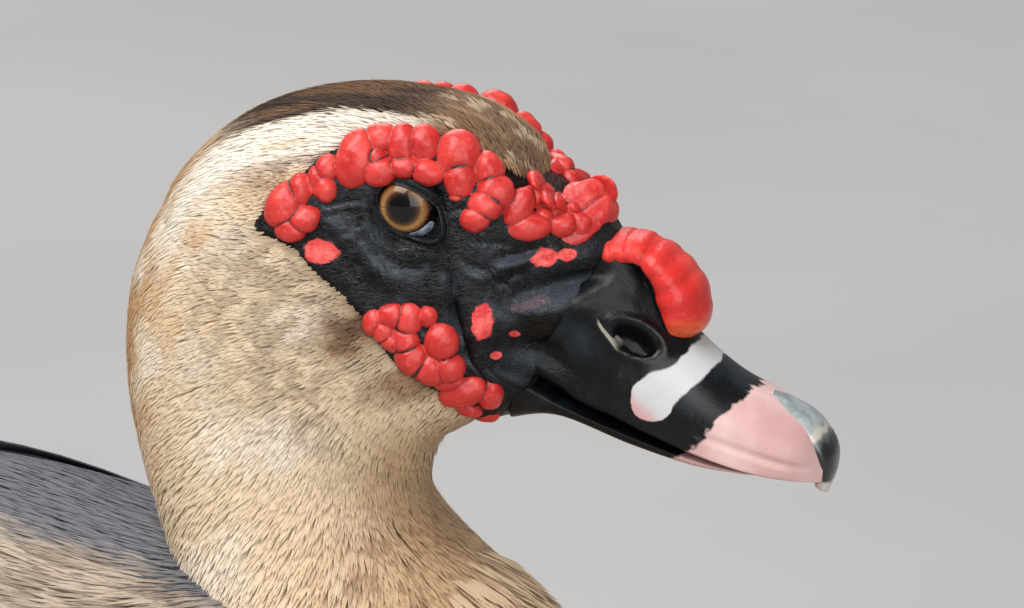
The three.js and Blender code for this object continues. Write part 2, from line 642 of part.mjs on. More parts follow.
add('torso', makeTorso(), buff);
add('neck', makeNeck(), buff);
add('head', makeHead(), fawn);
add('face', makeFace(), black);
addPair('caruncles_brow', caruncles(BROW_BULBS, BROW_FOLD).subtract(knobRoom), red);
addPair('caruncles_cheek', caruncles(CHEEK_BULBS, CHEEK_FOLD).subtract(body(LOWER_BILL, 14, 8, GAP)), red);
addBill();
for (const [name, side] of [['eye_right', -1], ['eye_left', 1]]) {
  const eye = add(name, solid(new THREE.SphereGeometry(EYE.radius, 12, 9)), amber);
  eye.position.y = side * EYE.side;
}
addPair('wing', makeWing(), slate);
add('tail', makeTail(), slate);
addLeg('right', 1, 0);
addLeg('left', -1, LEG.stride);

const box = new THREE.Box3().setFromObject(duck);
duck.position.set(-(box.min.x + box.max.x) / 2, -(box.min.y + box.max.y) / 2, -box.min.z);

export default duck;
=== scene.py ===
import math

import bpy
import numpy as np
from mathutils import Matrix, Vector, noise
from mathutils.bvhtree import BVHTree


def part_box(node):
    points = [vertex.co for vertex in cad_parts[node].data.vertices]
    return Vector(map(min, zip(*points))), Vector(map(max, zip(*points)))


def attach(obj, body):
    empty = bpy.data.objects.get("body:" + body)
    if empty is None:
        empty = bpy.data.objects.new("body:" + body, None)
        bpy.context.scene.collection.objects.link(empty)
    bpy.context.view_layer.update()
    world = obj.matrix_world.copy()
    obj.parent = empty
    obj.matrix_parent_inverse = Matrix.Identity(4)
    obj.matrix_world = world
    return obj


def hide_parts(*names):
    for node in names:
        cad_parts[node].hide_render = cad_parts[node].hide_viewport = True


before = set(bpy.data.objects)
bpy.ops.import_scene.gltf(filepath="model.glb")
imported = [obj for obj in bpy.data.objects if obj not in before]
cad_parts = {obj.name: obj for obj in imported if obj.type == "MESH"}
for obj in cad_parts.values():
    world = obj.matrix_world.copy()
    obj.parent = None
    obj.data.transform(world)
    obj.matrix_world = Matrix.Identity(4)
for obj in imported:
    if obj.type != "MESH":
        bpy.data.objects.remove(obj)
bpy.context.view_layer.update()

# Camera, floor and light. A long lens looks at the head from a little above and from in front of its
# right side, as in the photograph. The duck stands on a plain pale floor in soft light from above.
MM = 0.001
EYES = (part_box("eye_right")[0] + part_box("eye_left")[1]) / 2  # midway between the eyes
AIM_RIGHT, AIM_UP = 16.7, -25.7  # middle of the picture from there, mm
CAMERA_FAR, LENS = 1600, 264.4
AZIMUTH = ELEVATION = math.radians(15)

to_right = Vector((math.cos(AZIMUTH), math.sin(AZIMUTH), 0))
to_camera = Vector((math.sin(AZIMUTH) * math.cos(ELEVATION),
                    -math.cos(AZIMUTH) * math.cos(ELEVATION), math.sin(ELEVATION)))
to_top = to_camera.cross(to_right)
turned = Matrix((to_right, to_top, to_camera)).transposed()
aim = EYES + MM * (AIM_RIGHT * to_right + AIM_UP * to_top)
bpy.ops.object.camera_add(location=aim + MM * CAMERA_FAR * to_camera, rotation=turned.to_euler())
camera = bpy.context.object
camera.data.lens = LENS
camera.data.sensor_width = 36
camera.data.clip_start, camera.data.clip_end = 0.05, 60
bpy.context.scene.camera = camera


class Paint:
    """A value in a material's node tree. Python sums on it add Math nodes."""

    def __init__(self, tree, socket=None):
        self.tree, self.socket = tree, socket

    def node(self, kind, settings=None, inputs=None, out=0):
        made = self.tree.nodes.new(kind)
        for name, value in (settings or {}).items():
            if name == "stops":
                stops = made.color_ramp.elements
                while len(stops) < len(value):
                    stops.new(1)
                for stop, (place, colour) in zip(stops, value):
                    stop.position, stop.color = place, (*colour, 1)
            else:
                setattr(made, name, value)
        for name, value in (inputs or {}).items():
            if isinstance(value, Paint):
                self.tree.links.new(value.socket, made.inputs[name])
            else:
                made.inputs[name].default_value = value
        return Paint(self.tree, made.outputs[out])

    def math(self, operation, *values):
        return self.node("ShaderNodeMath", {"operation": operation}, dict(enumerate(values)))

    def __add__(self, other):
        return self.math("ADD", self, other)

    def __sub__(self, other):
        return self.math("SUBTRACT", self, other)

    def __rsub__(self, other):
        return self.math("SUBTRACT", other, self)

    def __mul__(self, other):
        return self.math("MULTIPLY", self, other)

    def __truediv__(self, other):
        return self.math("DIVIDE", self, other)

    def __pow__(self, other):
        return self.math("POWER", self, other)

    __radd__, __rmul__ = __add__, __mul__

    def step(self, low, high):
        """0 up to low and 1 from high on, with a soft change between them."""
        inputs = {"Value": self, "From Min": low, "From Max": high}
        return self.node("ShaderNodeMapRange", {"interpolation_type": "SMOOTHSTEP"}, inputs)

    def mix(self, first, second, blend="MIX"):
        """Two colours mixed, with this value as the share of the second."""
        as_colour = [(*c, 1) if isinstance(c, tuple) else c for c in (first, second)]
        settings = {"data_type": "RGBA", "blend_type": blend}
        return self.node("ShaderNodeMix", settings, {0: self, 6: as_colour[0], 7: as_colour[1]}, out=2)


def finish_of(name, **constants):
    """A new material, its shader and the Object coordinates, from which its nodes start."""
    material = bpy.data.materials.new(name)
    material.use_nodes = True
    shader = material.node_tree.nodes["Principled BSDF"]
    for socket, value in constants.items():
        shader.inputs[socket.replace("_", " ")].default_value = value
    return material, shader, Paint(material.node_tree).node("ShaderNodeTexCoord", out=3)


def connect(shader, **values):
    for socket, value in values.items():
        value.tree.links.new(value.socket, shader.inputs[socket.replace("_", " ")])


def cloud(place, scale, detail=3.0, **more):
    """Noise over a piece: the scale is in lumps to the metre."""
    inputs = {"Vector": place, "Scale": scale, "Detail": detail, **more}
    return place.node("ShaderNodeTexNoise", inputs=inputs)


def clear_selection():
    if bpy.context.object and bpy.context.object.mode != "OBJECT":
        bpy.ops.object.mode_set(mode="OBJECT")
    bpy.ops.object.select_all(action="DESELECT")


def add(operator, name="start", **settings):
    """A new object from one of Blender's operators, selected by itself."""
    clear_selection()
    operator(**settings)
    made = bpy.context.object
    made.name = made.data.name = name
    return made


floor = add(bpy.ops.mesh.primitive_plane_add, "floor", size=16)
material, shader, place = finish_of("floor_paint", Roughness=0.75)
floor_tone = cloud(place, 2.0, 4.0).step(0.35, 0.65)
connect(shader, Base_Color=floor_tone.mix((0.31, 0.305, 0.30), (0.34, 0.335, 0.33)))
floor.data.materials.append(material)

for name, where, size, power in (("key_light", (-0.7, -1.3, 2.7), 2.2, 118),
                                 ("fill_light", (1.7, -2.6, 1.3), 2.6, 78),
                                 ("back_light", (-0.8, 1.9, 2.2), 2.0, 56)):
    light = add(bpy.ops.object.light_add, name, type="AREA", location=where)
    light.rotation_euler = (aim - light.location).to_track_quat("-Z", "Y").to_euler()
    light.data.size, light.data.energy = size, power
world = bpy.data.worlds.new("soft_sky")
bpy.context.scene.world = world
world.use_nodes = True
sky = world.node_tree.nodes["Background"]
sky.inputs["Color"].default_value = (1.0, 0.985, 0.96, 1)
sky.inputs["Strength"].default_value = 0.24
bpy.context.scene.view_settings.view_transform = "Standard"

# The skin of the head, neck, torso and thighs. It lies inside the plumage by the depth of the coat, and
# only the face is bare. Sizes are in mm from the point midway between the eyes. A row of a table is one
# oval section: ridge x, ridge z, throat x, throat z, half width, and squareness, where 2 is an ellipse.
HEAD = (np.array([
    (41, -7, 21, -48, 12.5, 2.7),  # 0, bill root
    (28, 1.8, 15, -49.5, 17.5, 2.9),  # 1, tip of the feathered forehead
    (19, 12.6, 9.5, -51, 20.8, 3.1),
    (5, 18.8, 5, -53, 22.3, 3.2),  # 3, over the eye
    (-18, 19.8, 2, -55.5, 23.5, 3.0),  # 4, crown
    (-41, 12.6, 0, -58.5, 25.5, 2.7),
    (-57.4, -3.3, -0.5, -62, 27.5, 2.3),  # 6, back of the head
    (-66.4, -22.7, 0, -66, 29, 2.2),
    (-68, -42, 3, -72, 29.5, 2.15),  # 8, nape
    (-65.4, -60, 11, -81, 30.5, 2.1),
    (-60, -78, 25.5, -93, 34, 2.1),
    (-54, -100, 42, -112, 42, 2.1),
    (-50, -130, 50, -142, 46, 2.1),  # 12, root of the neck, inside the breast
]), 0.5)  # and where the section is widest, as a share of its height
TORSO = (np.array([(x, back, x, belly, half, 2.25) for x, back, belly, half in (
    (67, -158, -164, 4), (61, -133, -193, 34), (44, -114, -221, 59), (8, -103, -245, 81),
    (-38, -97, -258, 92), (-75, -84, -262, 96), (-115, -74, -262, 97), (-180, -78, -257, 95),
    (-240, -88, -242, 87), (-295, -101, -217, 69), (-345, -113, -185, 47), (-385, -125, -160, 29),
    (-398, -138, -150, 10))]), 0.46)
HEAD_COAT, NECK_COAT, THIGH_COAT, BODY_COAT = 1.5, 2.8, 3, 7.0  # depth of the plumage
BODY_SKIN = -BODY_COAT * 0.85  # the body's skin, under its form
THIGHS = ((-128, 48, -214, 33), (-146, 48, -248, 23), (-156, 48, -270, 11))  # x, y, z, radius
STRIDE = 16  # the left leg stands this far behind the right one
# The bare face in side view, from the forehead round behind the eye and down to the chin.
BARE_FACE = np.array([
    (33, 5), (28, 1.5), (22, 4.5), (16, 9), (9, 12), (-4, 13.2), (-12, 12), (-19, 8), (-24, 3),
    (-28.5, -0.5), (-31.5, -5.5), (-23.2, -8.6), (-18.3, -13.9), (-12.4, -18.7), (-7.6, -23.8),
    (-4.2, -29.6), (0, -35.2), (7.3, -39.8), (11.6, -45.5), (17, -62), (62, -62), (62, 12)])


def between(rows, station):
    """A Catmull-Rom line through a table's rows, at row numbers with fractions."""
    place = np.clip(station, 0, len(rows) - 1.0)
    row = np.minimum(place.astype(int), len(rows) - 2)
    f = (place - row)[..., None]
    p, q, r, u = (rows[np.clip(row + k, 0, len(rows) - 1)] for k in (-1, 0, 1, 2))
    return q + 0.5 * f * (r - p + f * (2 * p - 5 * q + 4 * r - u + f * (3 * (q - r) + u - p)))


def surface(form, station, turn, out=0.0):
    """Points out mm above a form. turn is 0 on the ridge and a quarter turn on the left side."""
    rows, waist = form
    ridge_x, ridge_z, throat_x, throat_z, half, square = np.moveaxis(between(rows, station), -1, 0)
    up_x, up_z = ridge_x - throat_x, ridge_z - throat_z
    depth = np.hypot(up_x, up_z)
    rise, side = (np.sign(v) * np.abs(v) ** (2 / square) for v in (np.cos(turn), np.sin(turn)))
    level = waist + rise * (np.where(rise > 0, 1 - waist, waist) + out / depth)
    return np.stack([throat_x + up_x * level, side * (half + out), throat_z + up_z * level], -1)


def in_frame(points):
    """Millimetres from between the eyes, as metres in the duck's frame."""
    return np.asarray(points) * MM + np.array(EYES)


def ease(low, high, value):
    """0 up to low and 1 from high on, with a soft change between them."""
    t = np.clip((np.asarray(value, float) - low) / (high - low), 0, 1)
    return t * t * (3 - 2 * t)


def inside_outline(outline, x, z):
    """Distance from an outline seen from the side, above zero within it."""
    a, b = outline, np.roll(outline, -1, 0)
    p = np.stack([x, z], -1)[..., None, :]
    along = np.clip(((p - a) * (b - a)).sum(-1) / ((b - a) ** 2).sum(-1), 0, 1)
    near = np.linalg.norm(p - a - along[..., None] * (b - a), axis=-1).min(-1)
    crosses = (a[:, 1] > p[..., 1]) != (b[:, 1] > p[..., 1])
    with np.errstate(divide="ignore", invalid="ignore"):
        at = a[:, 0] + (p[..., 1] - a[:, 1]) / (b[:, 1] - a[:, 1]) * (b[:, 0] - a[:, 0])
    within = (crosses & (p[..., 0] < at)).sum(-1) % 2 == 1
    return np.where(within, near, -near)


def read(piece, what="co"):
    """The place of each vertex of a piece, in metres, or its normal."""
    values = np.empty(len(piece.data.vertices) * 3)
    piece.data.vertices.foreach_get(what, values)
    return values.reshape(-1, 3)


def points_of(piece):
    return (read(piece) - np.array(EYES)) / MM


def move(piece, points):
    """Puts a piece's vertices at points in mm from between the eyes."""
    piece.data.vertices.foreach_set("co", in_frame(points).ravel())


def finish_shell(made):
    """Turns a shaped primitive's faces outwards and shades it smooth."""
    bpy.ops.object.mode_set(mode="EDIT")
    bpy.ops.mesh.select_all(action="SELECT")
    bpy.ops.mesh.normals_make_consistent(inside=False)
    bpy.ops.object.mode_set(mode="OBJECT")
    bpy.ops.object.shade_smooth()
    return made


def ringed(name, segments, rings, place):
    """A primitive sphere whose rings are laid along a form: place(share, turn) gives the points."""
    made = add(bpy.ops.mesh.primitive_uv_sphere_add, name, segments=segments, ring_count=rings)
    co = read(made)
    ring = np.rint(np.arccos(np.clip(co[:, 2], -1, 1)) / math.pi * rings)
    share = np.clip((ring - 1) / (rings - 2), 0, 1)
    points = place(share, np.arctan2(co[:, 1], co[:, 0]))
    for end in (0, rings):
        points[ring == end] = points[ring == (1 if end == 0 else rings - 1)].mean(0)
    move(made, points)
    return finish_shell(made)


def select(*pieces):
    clear_selection()
    for piece in pieces:
        piece.select_set(True)
    bpy.context.view_layer.objects.active = pieces[0]


def apply_modifier(piece, kind, **settings):
    select(piece)
    modifier = piece.modifiers.new(kind.lower(), kind)
    for name, value in settings.items():
        setattr(modifier, name, value)
    bpy.ops.object.modifier_apply(modifier=modifier.name)


def run_together(piece, voxel, iterations):
    """Makes one skin of a piece's overlapping parts, and softens it."""
    apply_modifier(piece, "REMESH", mode="VOXEL", voxel_size=voxel * MM, use_smooth_shade=True)
    apply_modifier(piece, "SMOOTH", factor=0.5, iterations=iterations)


def joined(name, pieces):
    select(*pieces)
    bpy.ops.object.join()
    pieces[0].name = pieces[0].data.name = name
    return pieces[0]


def coat_depth(station):
    return HEAD_COAT + (NECK_COAT - HEAD_COAT) * ease(6, 10, station)


def neck_part(share, turn):
    station = 5.2 + 6.8 * share
    throat = 6.0 * ease(1.7, 2.9, np.abs(turn)) * ease(6.3, 8.6, station)
    return surface(HEAD, station, turn, -coat_depth(station) - 0.3 - throat)


neck = ringed("neck_skin", 72, 60, neck_part)
torso = ringed("torso_skin", 88, 90,
               lambda share, turn: surface(TORSO, 12 * share, turn, BODY_SKIN))
SIDES = (("right", -1), ("left", 1))
thighs = []
for suffix, side in SIDES:
    back = STRIDE * (side > 0)
    line = np.array([(x - back, side * y, z, radius) for x, y, z, radius in THIGHS], float)

    def thigh_part(share, turn):
        x, y, z, radius = np.moveaxis(between(line, 2 * share), -1, 0)
        radius = radius - THIGH_COAT
        return np.stack([x + radius * np.cos(turn), y + 0.9 * radius * np.sin(turn), z], -1)

    thighs.append(ringed("thigh_skin", 32, 20, thigh_part))
skin = joined("body_skin", [torso, neck, *thighs])
run_together(skin, voxel=3.6, iterations=7)

# The eye sits in a shallow hollow. The face round it is bare black skin, thin over the bone, with
# creases that run out from the corners of the eye and folds down to the gape.
ORBIT_WIDE, ORBIT_DEEP = 9.5, 2.6
CREASES = [  # x, z of both ends, depth and width of the larger folds
    ((-7, 3.5), (-20, 8), 0.5, 1.0), ((-8, 0.5), (-19, 0), 0.45, 0.9), ((-7, -3), (-17, -7), 0.4, 1.0),
    ((-5, -8), (-13, -16), 0.5, 1.2), ((2, -10.5), (10, -14), 0.5, 1.2), ((9, -13), (13, -30), 0.7, 1.3),
    ((8, -2), (14, 2), 0.5, 1.0), ((12, -30), (18, -44), 0.6, 1.2), ((10, -9), (26, -15), 0.45, 1.5),
    ((14, -20), (28, -26), 0.4, 1.6), ((-3, -20), (6, -17), 0.4, 1.2), ((-9, -2), (-21, -4), 0.4, 0.8),
    ((-7, -6), (-16, -11), 0.45, 0.8), ((-2, -10), (-8, -20), 0.5, 0.9), ((12, -6), (24, -9), 0.4, 0.9),
    ((12, -11), (22, -18), 0.6, 1.1), ((8, -16), (14, -20), 0.4, 0.9), ((18, -16), (34, -10), 0.5, 1.2),
    ((16, -33), (24, -42), 0.5, 1.1), ((2, -24), (9, -33), 0.5, 1.2), ((11, 1), (18, -4), 0.5, 1.0)]
CREASE_SHARE, PAD_SHARE = 1.3, 1.35  # of the depths and rises in the two tables
PADS = [  # x, z, half length, half height, tilt and rise of the swellings, or of hollows below zero
    (31, -22.5, 9, 3.4, 0.12, 2.2), (34, -15.5, 8, 2.4, 0.25, -1.9), (28, -32, 8, 2.8, -0.35, -1.8),
    (16, -27, 3.0, 7, 0.1, 1.3), (10.5, -24, 1.3, 8, 0.25, -1.3), (-4, -14.5, 7, 2.0, -0.55, 1.1),
    (9, -17.5, 6, 1.7, -0.3, 1.0), (22, -12.5, 6, 1.5, 0.35, 1.0), (-14, -6, 5, 2.0, -0.7, 0.8),
    (3, -13.5, 6, 1.0, -0.2, -0.7), (24, -9.5, 5, 1.1, 0.2, -0.7), (20, -38, 5, 1.6, -0.6, 0.8)]


def crease_depth(x, z):
    total = np.zeros_like(x)
    for (ax, az), (bx, bz), deep, wide in CREASES:
        length = math.hypot(bx - ax, bz - az)
        along = ((x - ax) * (bx - ax) + (z - az) * (bz - az)) / length ** 2
        bent = 0.06 * length * np.sin(3 * along + ax)
        off = ((x - ax) * (bz - az) - (z - az) * (bx - ax)) / length + bent
        ends = ease(0, 0.2, along) * ease(1, 0.8, along)
        total += CREASE_SHARE * deep * np.exp(-(off / (0.4 * wide)) ** 2) * ends
    return total


def swelling(x, z):
    total = np.zeros_like(x)
    for at_x, at_z, long, high, tilt, rise in PADS:
        along = (x - at_x) * math.cos(tilt) + (z - at_z) * math.sin(tilt)
        across = (z - at_z) * math.cos(tilt) - (x - at_x) * math.sin(tilt)
        total += PAD_SHARE * rise * np.exp(-(along / long) ** 2 - (across / high) ** 2)
    return total


def noise_at(points, size, seed=0):
    return np.array([noise.noise(Vector(p)) for p in points / size + seed * 7.3])


def face_height(bare):
    """How far the bare face stands above its form."""
    x, y, z = bare.T
    off = np.hypot(x, z + 0.5)
    near_bill = ease(18, 34, x)
    sides = ease(9 - 3 * near_bill, 15 - 5 * near_bill, np.abs(y))
    hollow = ORBIT_DEEP * ease(ORBIT_WIDE, 5.5, off)
    folds = crease_depth(x, z) * ease(6.5, 8, off) - swelling(x, z)
    return 0.5 * noise_at(bare, 5) + 0.22 * noise_at(bare, 1.7) - sides * (hollow + folds)


def head_part(share, turn):
    station = 6.6 * share
    bare = surface(HEAD, station, turn)
    border = ease(-2.6, 0.2, inside_outline(BARE_FACE, bare[:, 0], bare[:, 2]))
    out = border * face_height(bare) - (1 - border) * coat_depth(station)
    out -= 0.7 * ease(0.25, 0, station) + 2.2 * ease(5.8, 6.5, station)
    return surface(HEAD, station, turn, out)


def tint(mesh, layer, tones):
    """Stores a colour for each vertex, which a material reads by the layer's name."""
    rgba = np.ones((len(mesh.vertices), 4))
    rgba[:, :3] = tones
    mesh.color_attributes.new(layer, "FLOAT_COLOR", "POINT").data.foreach_set("color", rgba.ravel())


head = ringed("head_skin", 290, 150, head_part)
x, _, z = points_of(head).T
# The face's swellings and folds as lit from above, stored as a colour layer of painted light and shade.
above, below = (swelling(x, z + shift) - crease_depth(x, z + shift) for shift in (0.5, -0.5))
tint(head.data, "relief", np.clip(0.5 - 0.8 * (above - below), 0, 1)[:, None])  # painted highlight on upper sides, painted shade on lower sides


def dress(piece, nodes, material):
    piece.data.materials.clear()
    piece.data.materials.append(material)
    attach(piece, "root")
    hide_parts(*nodes)


def axis(vector, number):
    return vector.node("ShaderNodeSeparateXYZ", inputs={"Vector": vector}, out=number)


def from_eyes(place):
    """A place's x, y and z in mm from the point midway between the eyes."""
    return [(axis(place, k) - EYES[k]) * 1000 for k in range(3)]


def tinted(place, layer):
    return place.node("ShaderNodeVertexColor", {"layer_name": layer})


def relief_of(height, strength, distance):
    """A bump for the shader's Normal. The distance is in metres."""
    return height.node("ShaderNodeBump",
                       inputs={"Height": height, "Strength": strength, "Distance": distance})


material, shader, place = finish_of("face_skin", IOR=1.45, Specular_IOR_Level=0.28)
side_x, side_y, side_z = from_eyes(place)
rough = cloud(place, 420.0, 5.0) - 0.5
broad = cloud(place, 90.0)
drawn = place.node("ShaderNodeCombineXYZ", inputs={0: side_x * 0.35 + side_z * 0.2, 1: side_y * 0.8,
                                                   2: side_z - side_x * 0.25})
wrinkles = cloud(drawn, 1.15, 4.0, Distortion=0.6) - 0.5
wrinkles = wrinkles.math("ABSOLUTE", wrinkles)
pores = place.node("ShaderNodeTexVoronoi", {"feature": "SMOOTH_F1"}, {"Vector": place, "Scale": 1150.0})
# Small flat patches of red skin between the caruncles: x, z, half length, half height.
RED_PATCHES = [(-18.1, -10.2, 3.8, 2.5), (28.4, -10.8, 2.6, 1.9), (32.6, -10.4, 1.9, 1.3),
               (16.4, -24, 2.1, 3.6), (4.5, -23.4, 1.8, 2.2), (18.7, -31.9, 1.1, 0.9),
               (22.4, -27.3, 1.0, 0.8)]
reddened = place.node("ShaderNodeValue")
reddened.socket.default_value = 0
for x, z, long, high in RED_PATCHES:
    off = ((side_x - x) / long) ** 2 + ((side_z - z) / high) ** 2
    reddened = reddened.math("MAXIMUM", reddened, (off + rough * 2.4).step(1.25, 0.75))
greyed = (broad + rough * 0.5).step(0.46, 0.68)
skin_black = greyed.mix((0.0022, 0.0024, 0.0030), (0.010, 0.013, 0.017))
skin_black = (1 - wrinkles.step(0.0, 0.03)).mix(skin_black, (0.005, 0.005, 0.006))
# Painted light and shade: upper sides of the pads and folds turn a lighter blue-grey as a painted highlight,
# lower sides near black as painted shade.
relief = place.node("ShaderNodeSeparateColor", inputs={0: tinted(place, "relief")})
skin_black = (relief.step(0.5, 1.0) * 0.8).mix(skin_black, (0.036, 0.044, 0.055))
skin_black = (relief.step(0.42, 0.1) * 0.8).mix(skin_black, (0.0012, 0.0012, 0.0014))
blush = ((side_x - 26) / 4.5) ** 2 + ((side_z + 20.5 - (side_x - 26) * 0.3) / 1.2) ** 2 + rough * 3
skin_black = (blush.step(1.3, 0.2) * 0.35).mix(skin_black, (0.16, 0.075, 0.085))
pebbled = (rough + 0.5).step(0.35, 0.7).mix((0.62, 0.045, 0.045), (0.80, 0.14, 0.12))
height = wrinkles.step(0.0, 0.09) * 0.55 - pores * 0.35 + rough * 0.8
connect(shader, Base_Color=reddened.mix(skin_black, pebbled), Roughness=broad.step(0.3, 0.7) * 0.14 + 0.22,
        Normal=relief_of(height, 0.55, 0.0004))
dress(head, ["head", "face"], material)

material, shader, place = finish_of("down", Roughness=0.9)
fluff = cloud(place, 500.0, 5.0)
markings = (fluff.step(0.3, 0.7) * 0.3).mix(tinted(place, "plumage"), (0.35, 0.27, 0.19), "MULTIPLY")
connect(shader, Base_Color=markings, Normal=relief_of(fluff, 0.6, 0.001))
dress(skin, ["torso", "neck", "thigh_right", "thigh_left"], material)
head.data.materials.append(material)
head_points = points_of(head)
feathered = inside_outline(BARE_FACE, head_points[:, 0], head_points[:, 2]) < -1.2
for polygon in head.data.polygons:
    if all(feathered[v] for v in polygon.vertices):
        polygon.material_index = 1

# The caruncles, the drake's red fleshy bulbs. They are warm, wet-looking skin in lobes that press against
# each other, in a row over the eye and across the forehead and in a smaller cluster behind the gape.
# A lobe is set as it shows in the photograph, in mm right of and above the point between the eyes: across,
# up, half length, half width, and the turn of its length from level, in degrees.
BROW_LOBES = [
    (-28.6, -1.6, 3.0, 2.1, 80), (-32, -5, 4.3, 3.0, 70), (-27.8, -8, 3.2, 2.3, 25),
    (-30.5, -9.7, 3.0, 2.1, -10), (-22.9, 3, 2.6, 1.9, 70), (-23.3, -1.2, 2.3, 1.9, -70),
    (-24.8, 0.9, 2.3, 1.5, 100), (-16.5, 5.2, 5.3, 3.4, 75), (-11.8, 9.4, 3.6, 2.6, 20),
    (-12.9, 5.6, 1.9, 2.1, 90), (-6.7, 8.4, 3.6, 2.6, 85), (-2, 8.6, 3.2, 2.8, 95),
    (-11.4, 2.4, 3.2, 2.3, 10), (-6.7, 3.3, 3.0, 1.9, 0), (-1.4, 2.2, 2.8, 2.1, -15),
    (5.4, 6.2, 4.3, 3.8, 90), (5.6, 1.1, 3.6, 2.6, 80), (4.8, -2.9, 1.1, 0.6, 0),
    (11.8, 2.6, 3.6, 2.6, -65), (13.1, -1.9, 3.4, 3.2, 90), (11, -4.8, 3.4, 2.8, 30),
    (9, -7.4, 2.8, 2.3, 20), (21, -2.7, 3.4, 1.9, 10), (18, -5.5, 4.0, 2.3, 60), (19.7, -9.3, 4.3, 2.3, 0),
    (23.1, -7.4, 2.1, 1.5, 35), (25.2, -5.3, 2.3, 2.1, 90), (30.3, -2.3, 2.1, 1.9, 0),
    (29.5, -5.3, 2.6, 2.1, 0), (27.3, -8.9, 2.8, 2.1, 0), (31, -8.7, 2.6, 2.3, 0),
    (34.8, -2.7, 3.4, 3.2, 0), (35.4, -6.3, 3.2, 2.6, 0), (32.4, -4.8, 2.1, 1.9, 0),
    (30.6, 1.2, 3.0, 2.1, 0), (28.2, 3.9, 2.0, 1.9, 0)]
CHEEK_LOBES = [
    (-12.9, -29.7, 2.3, 1.7, 70), (-10.7, -31.4, 2.1, 1.9, 0), (-9, -28.4, 2.6, 2.1, 0),
    (-5.4, -29.3, 3.0, 2.3, 80), (-8.6, -33.8, 2.3, 1.7, -20), (-5.9, -33.6, 3.2, 2.3, -75),
    (-4.6, -37.2, 3.4, 2.8, -50), (-0.7, -39.5, 4.5, 2.6, -20), (2.9, -39.5, 3.0, 2.8, 0),
    (2.9, -41.9, 2.8, 1.7, 0), (1.6, -34, 3.2, 2.8, 100), (-1.2, -28.4, 1.6, 1.3, 90),
    (6.3, -44.6, 4.3, 2.3, 15), (12, -44.8, 2.6, 2.3, 90), (7.6, -48.4, 2.1, 0.9, -10),
    (11.6, -49.7, 1.9, 0.6, 0)]
ALONG, AROUND = 200, 180  # the form of the head as a grid of points, to set them on
form_station, form_turn = (
    v.ravel() for v in np.meshgrid(np.linspace(0, 11.6, ALONG), np.linspace(-math.pi, math.pi, AROUND)))
form_faces = [(k, k + 1, k + ALONG + 1, k + ALONG) for k in range(ALONG * (AROUND - 1)) if (k + 1) % ALONG]
form_tree = BVHTree.FromPolygons([tuple(p) for p in in_frame(surface(HEAD, form_station, form_turn))],
                                 form_faces)


def lobe_cluster(name, lobes, side):
    """Beans pressed on to the head's skin where they show, run together and softened a little."""
    eye_point = aim + MM * CAMERA_FAR * to_camera
    beans, forms = [], []
    for across, up, long, wide, degrees in lobes:
        long, wide = long * 1.2 + 0.35, wide * 1.2 + 0.35
        up += 1.8 if side > 0 and "brow" in name else 0  # the left row stands a little higher
        sight = (EYES + MM * (across * to_right + up * to_top) - eye_point).normalized()
        at, out, _, _ = form_tree.ray_cast(eye_point, sight)
        if at is None:
            at, out, _, _ = form_tree.find_nearest(EYES + MM * (across * to_right + up * to_top))
        if out.dot(to_camera) < 0:
            out.negate()
        out = (out * 0.6 + Vector(((at - EYES).x * 0.004, (at - EYES).y, 0)).normalized() * 0.4).normalized()
        turn = math.radians(degrees)
        ways = [to_right * math.cos(turn) + to_top * math.sin(turn),
                to_top * math.cos(turn) - to_right * math.sin(turn)]
        ways = [way - to_camera * (way.dot(out) / max(0.5, to_camera.dot(out))) for way in ways]
        thick = 0.8 * min(long, wide) + 0.5
        shape = Matrix((ways[0] * long, ways[1] * wide, out * thick)).transposed().to_4x4()
        shape = Matrix.Translation(at - out * 0.2 * thick * MM) @ shape
        bean = add(bpy.ops.mesh.primitive_ico_sphere_add, subdivisions=4, radius=MM)
        bean.data.transform(shape)
        mirror = Matrix.Scale(-side, 4, (0, 1, 0))
        if side > 0:
            bean.data.transform(mirror)
            bean.data.flip_normals()
        beans.append(bean)
        forms.append(np.array((mirror @ shape).inverted()))
    cluster = joined(name, beans)
    run_together(cluster, voxel=0.35, iterations=4)
    points = points_of(cluster)
    lumps = noise_at(points, 2.6) + 0.1 * noise_at(points, 0.8)
    # Where two lobes press together the skin folds in. The fold is painted near black, for the black skin
    # there and as painted shade in the crease.
    spread = np.column_stack([in_frame(points), np.ones(len(points))])
    depths = np.sort([np.linalg.norm((spread @ form.T)[:, :3], axis=-1) for form in forms], axis=0) / MM
    cleft = np.exp(-((depths[1] - depths[0]) / 0.09) ** 2)
    points += read(cluster, "normal") * (0.25 * lumps - 0.3 * cleft)[:, None]
    cleft *= 0.66 + 0.34 * ease(-0.05, 0.3, noise_at(points, 3.6, 8))
    move(cluster, points)
    tint(cluster.data, "cleft", cleft[:, None])
    return cluster


material, shader, place = finish_of("caruncle", Subsurface_Weight=0.25, Subsurface_Scale=0.004, IOR=1.42,
                                    Subsurface_Radius=(1.0, 0.25, 0.15))
broad, fine = cloud(place, 160.0), cloud(place, 900.0)
dots = place.node("ShaderNodeTexVoronoi", inputs={"Vector": place, "Scale": 330.0})
flesh = broad.step(0.35, 0.68).mix((0.42, 0.018, 0.016), (0.55, 0.044, 0.036))
flesh = (fine.step(0.54, 0.76) * 0.35).mix(flesh, (0.68, 0.15, 0.12))
flesh = (dots.step(0.08, 0.03) * 0.6).mix(flesh, (0.08, 0.012, 0.015))
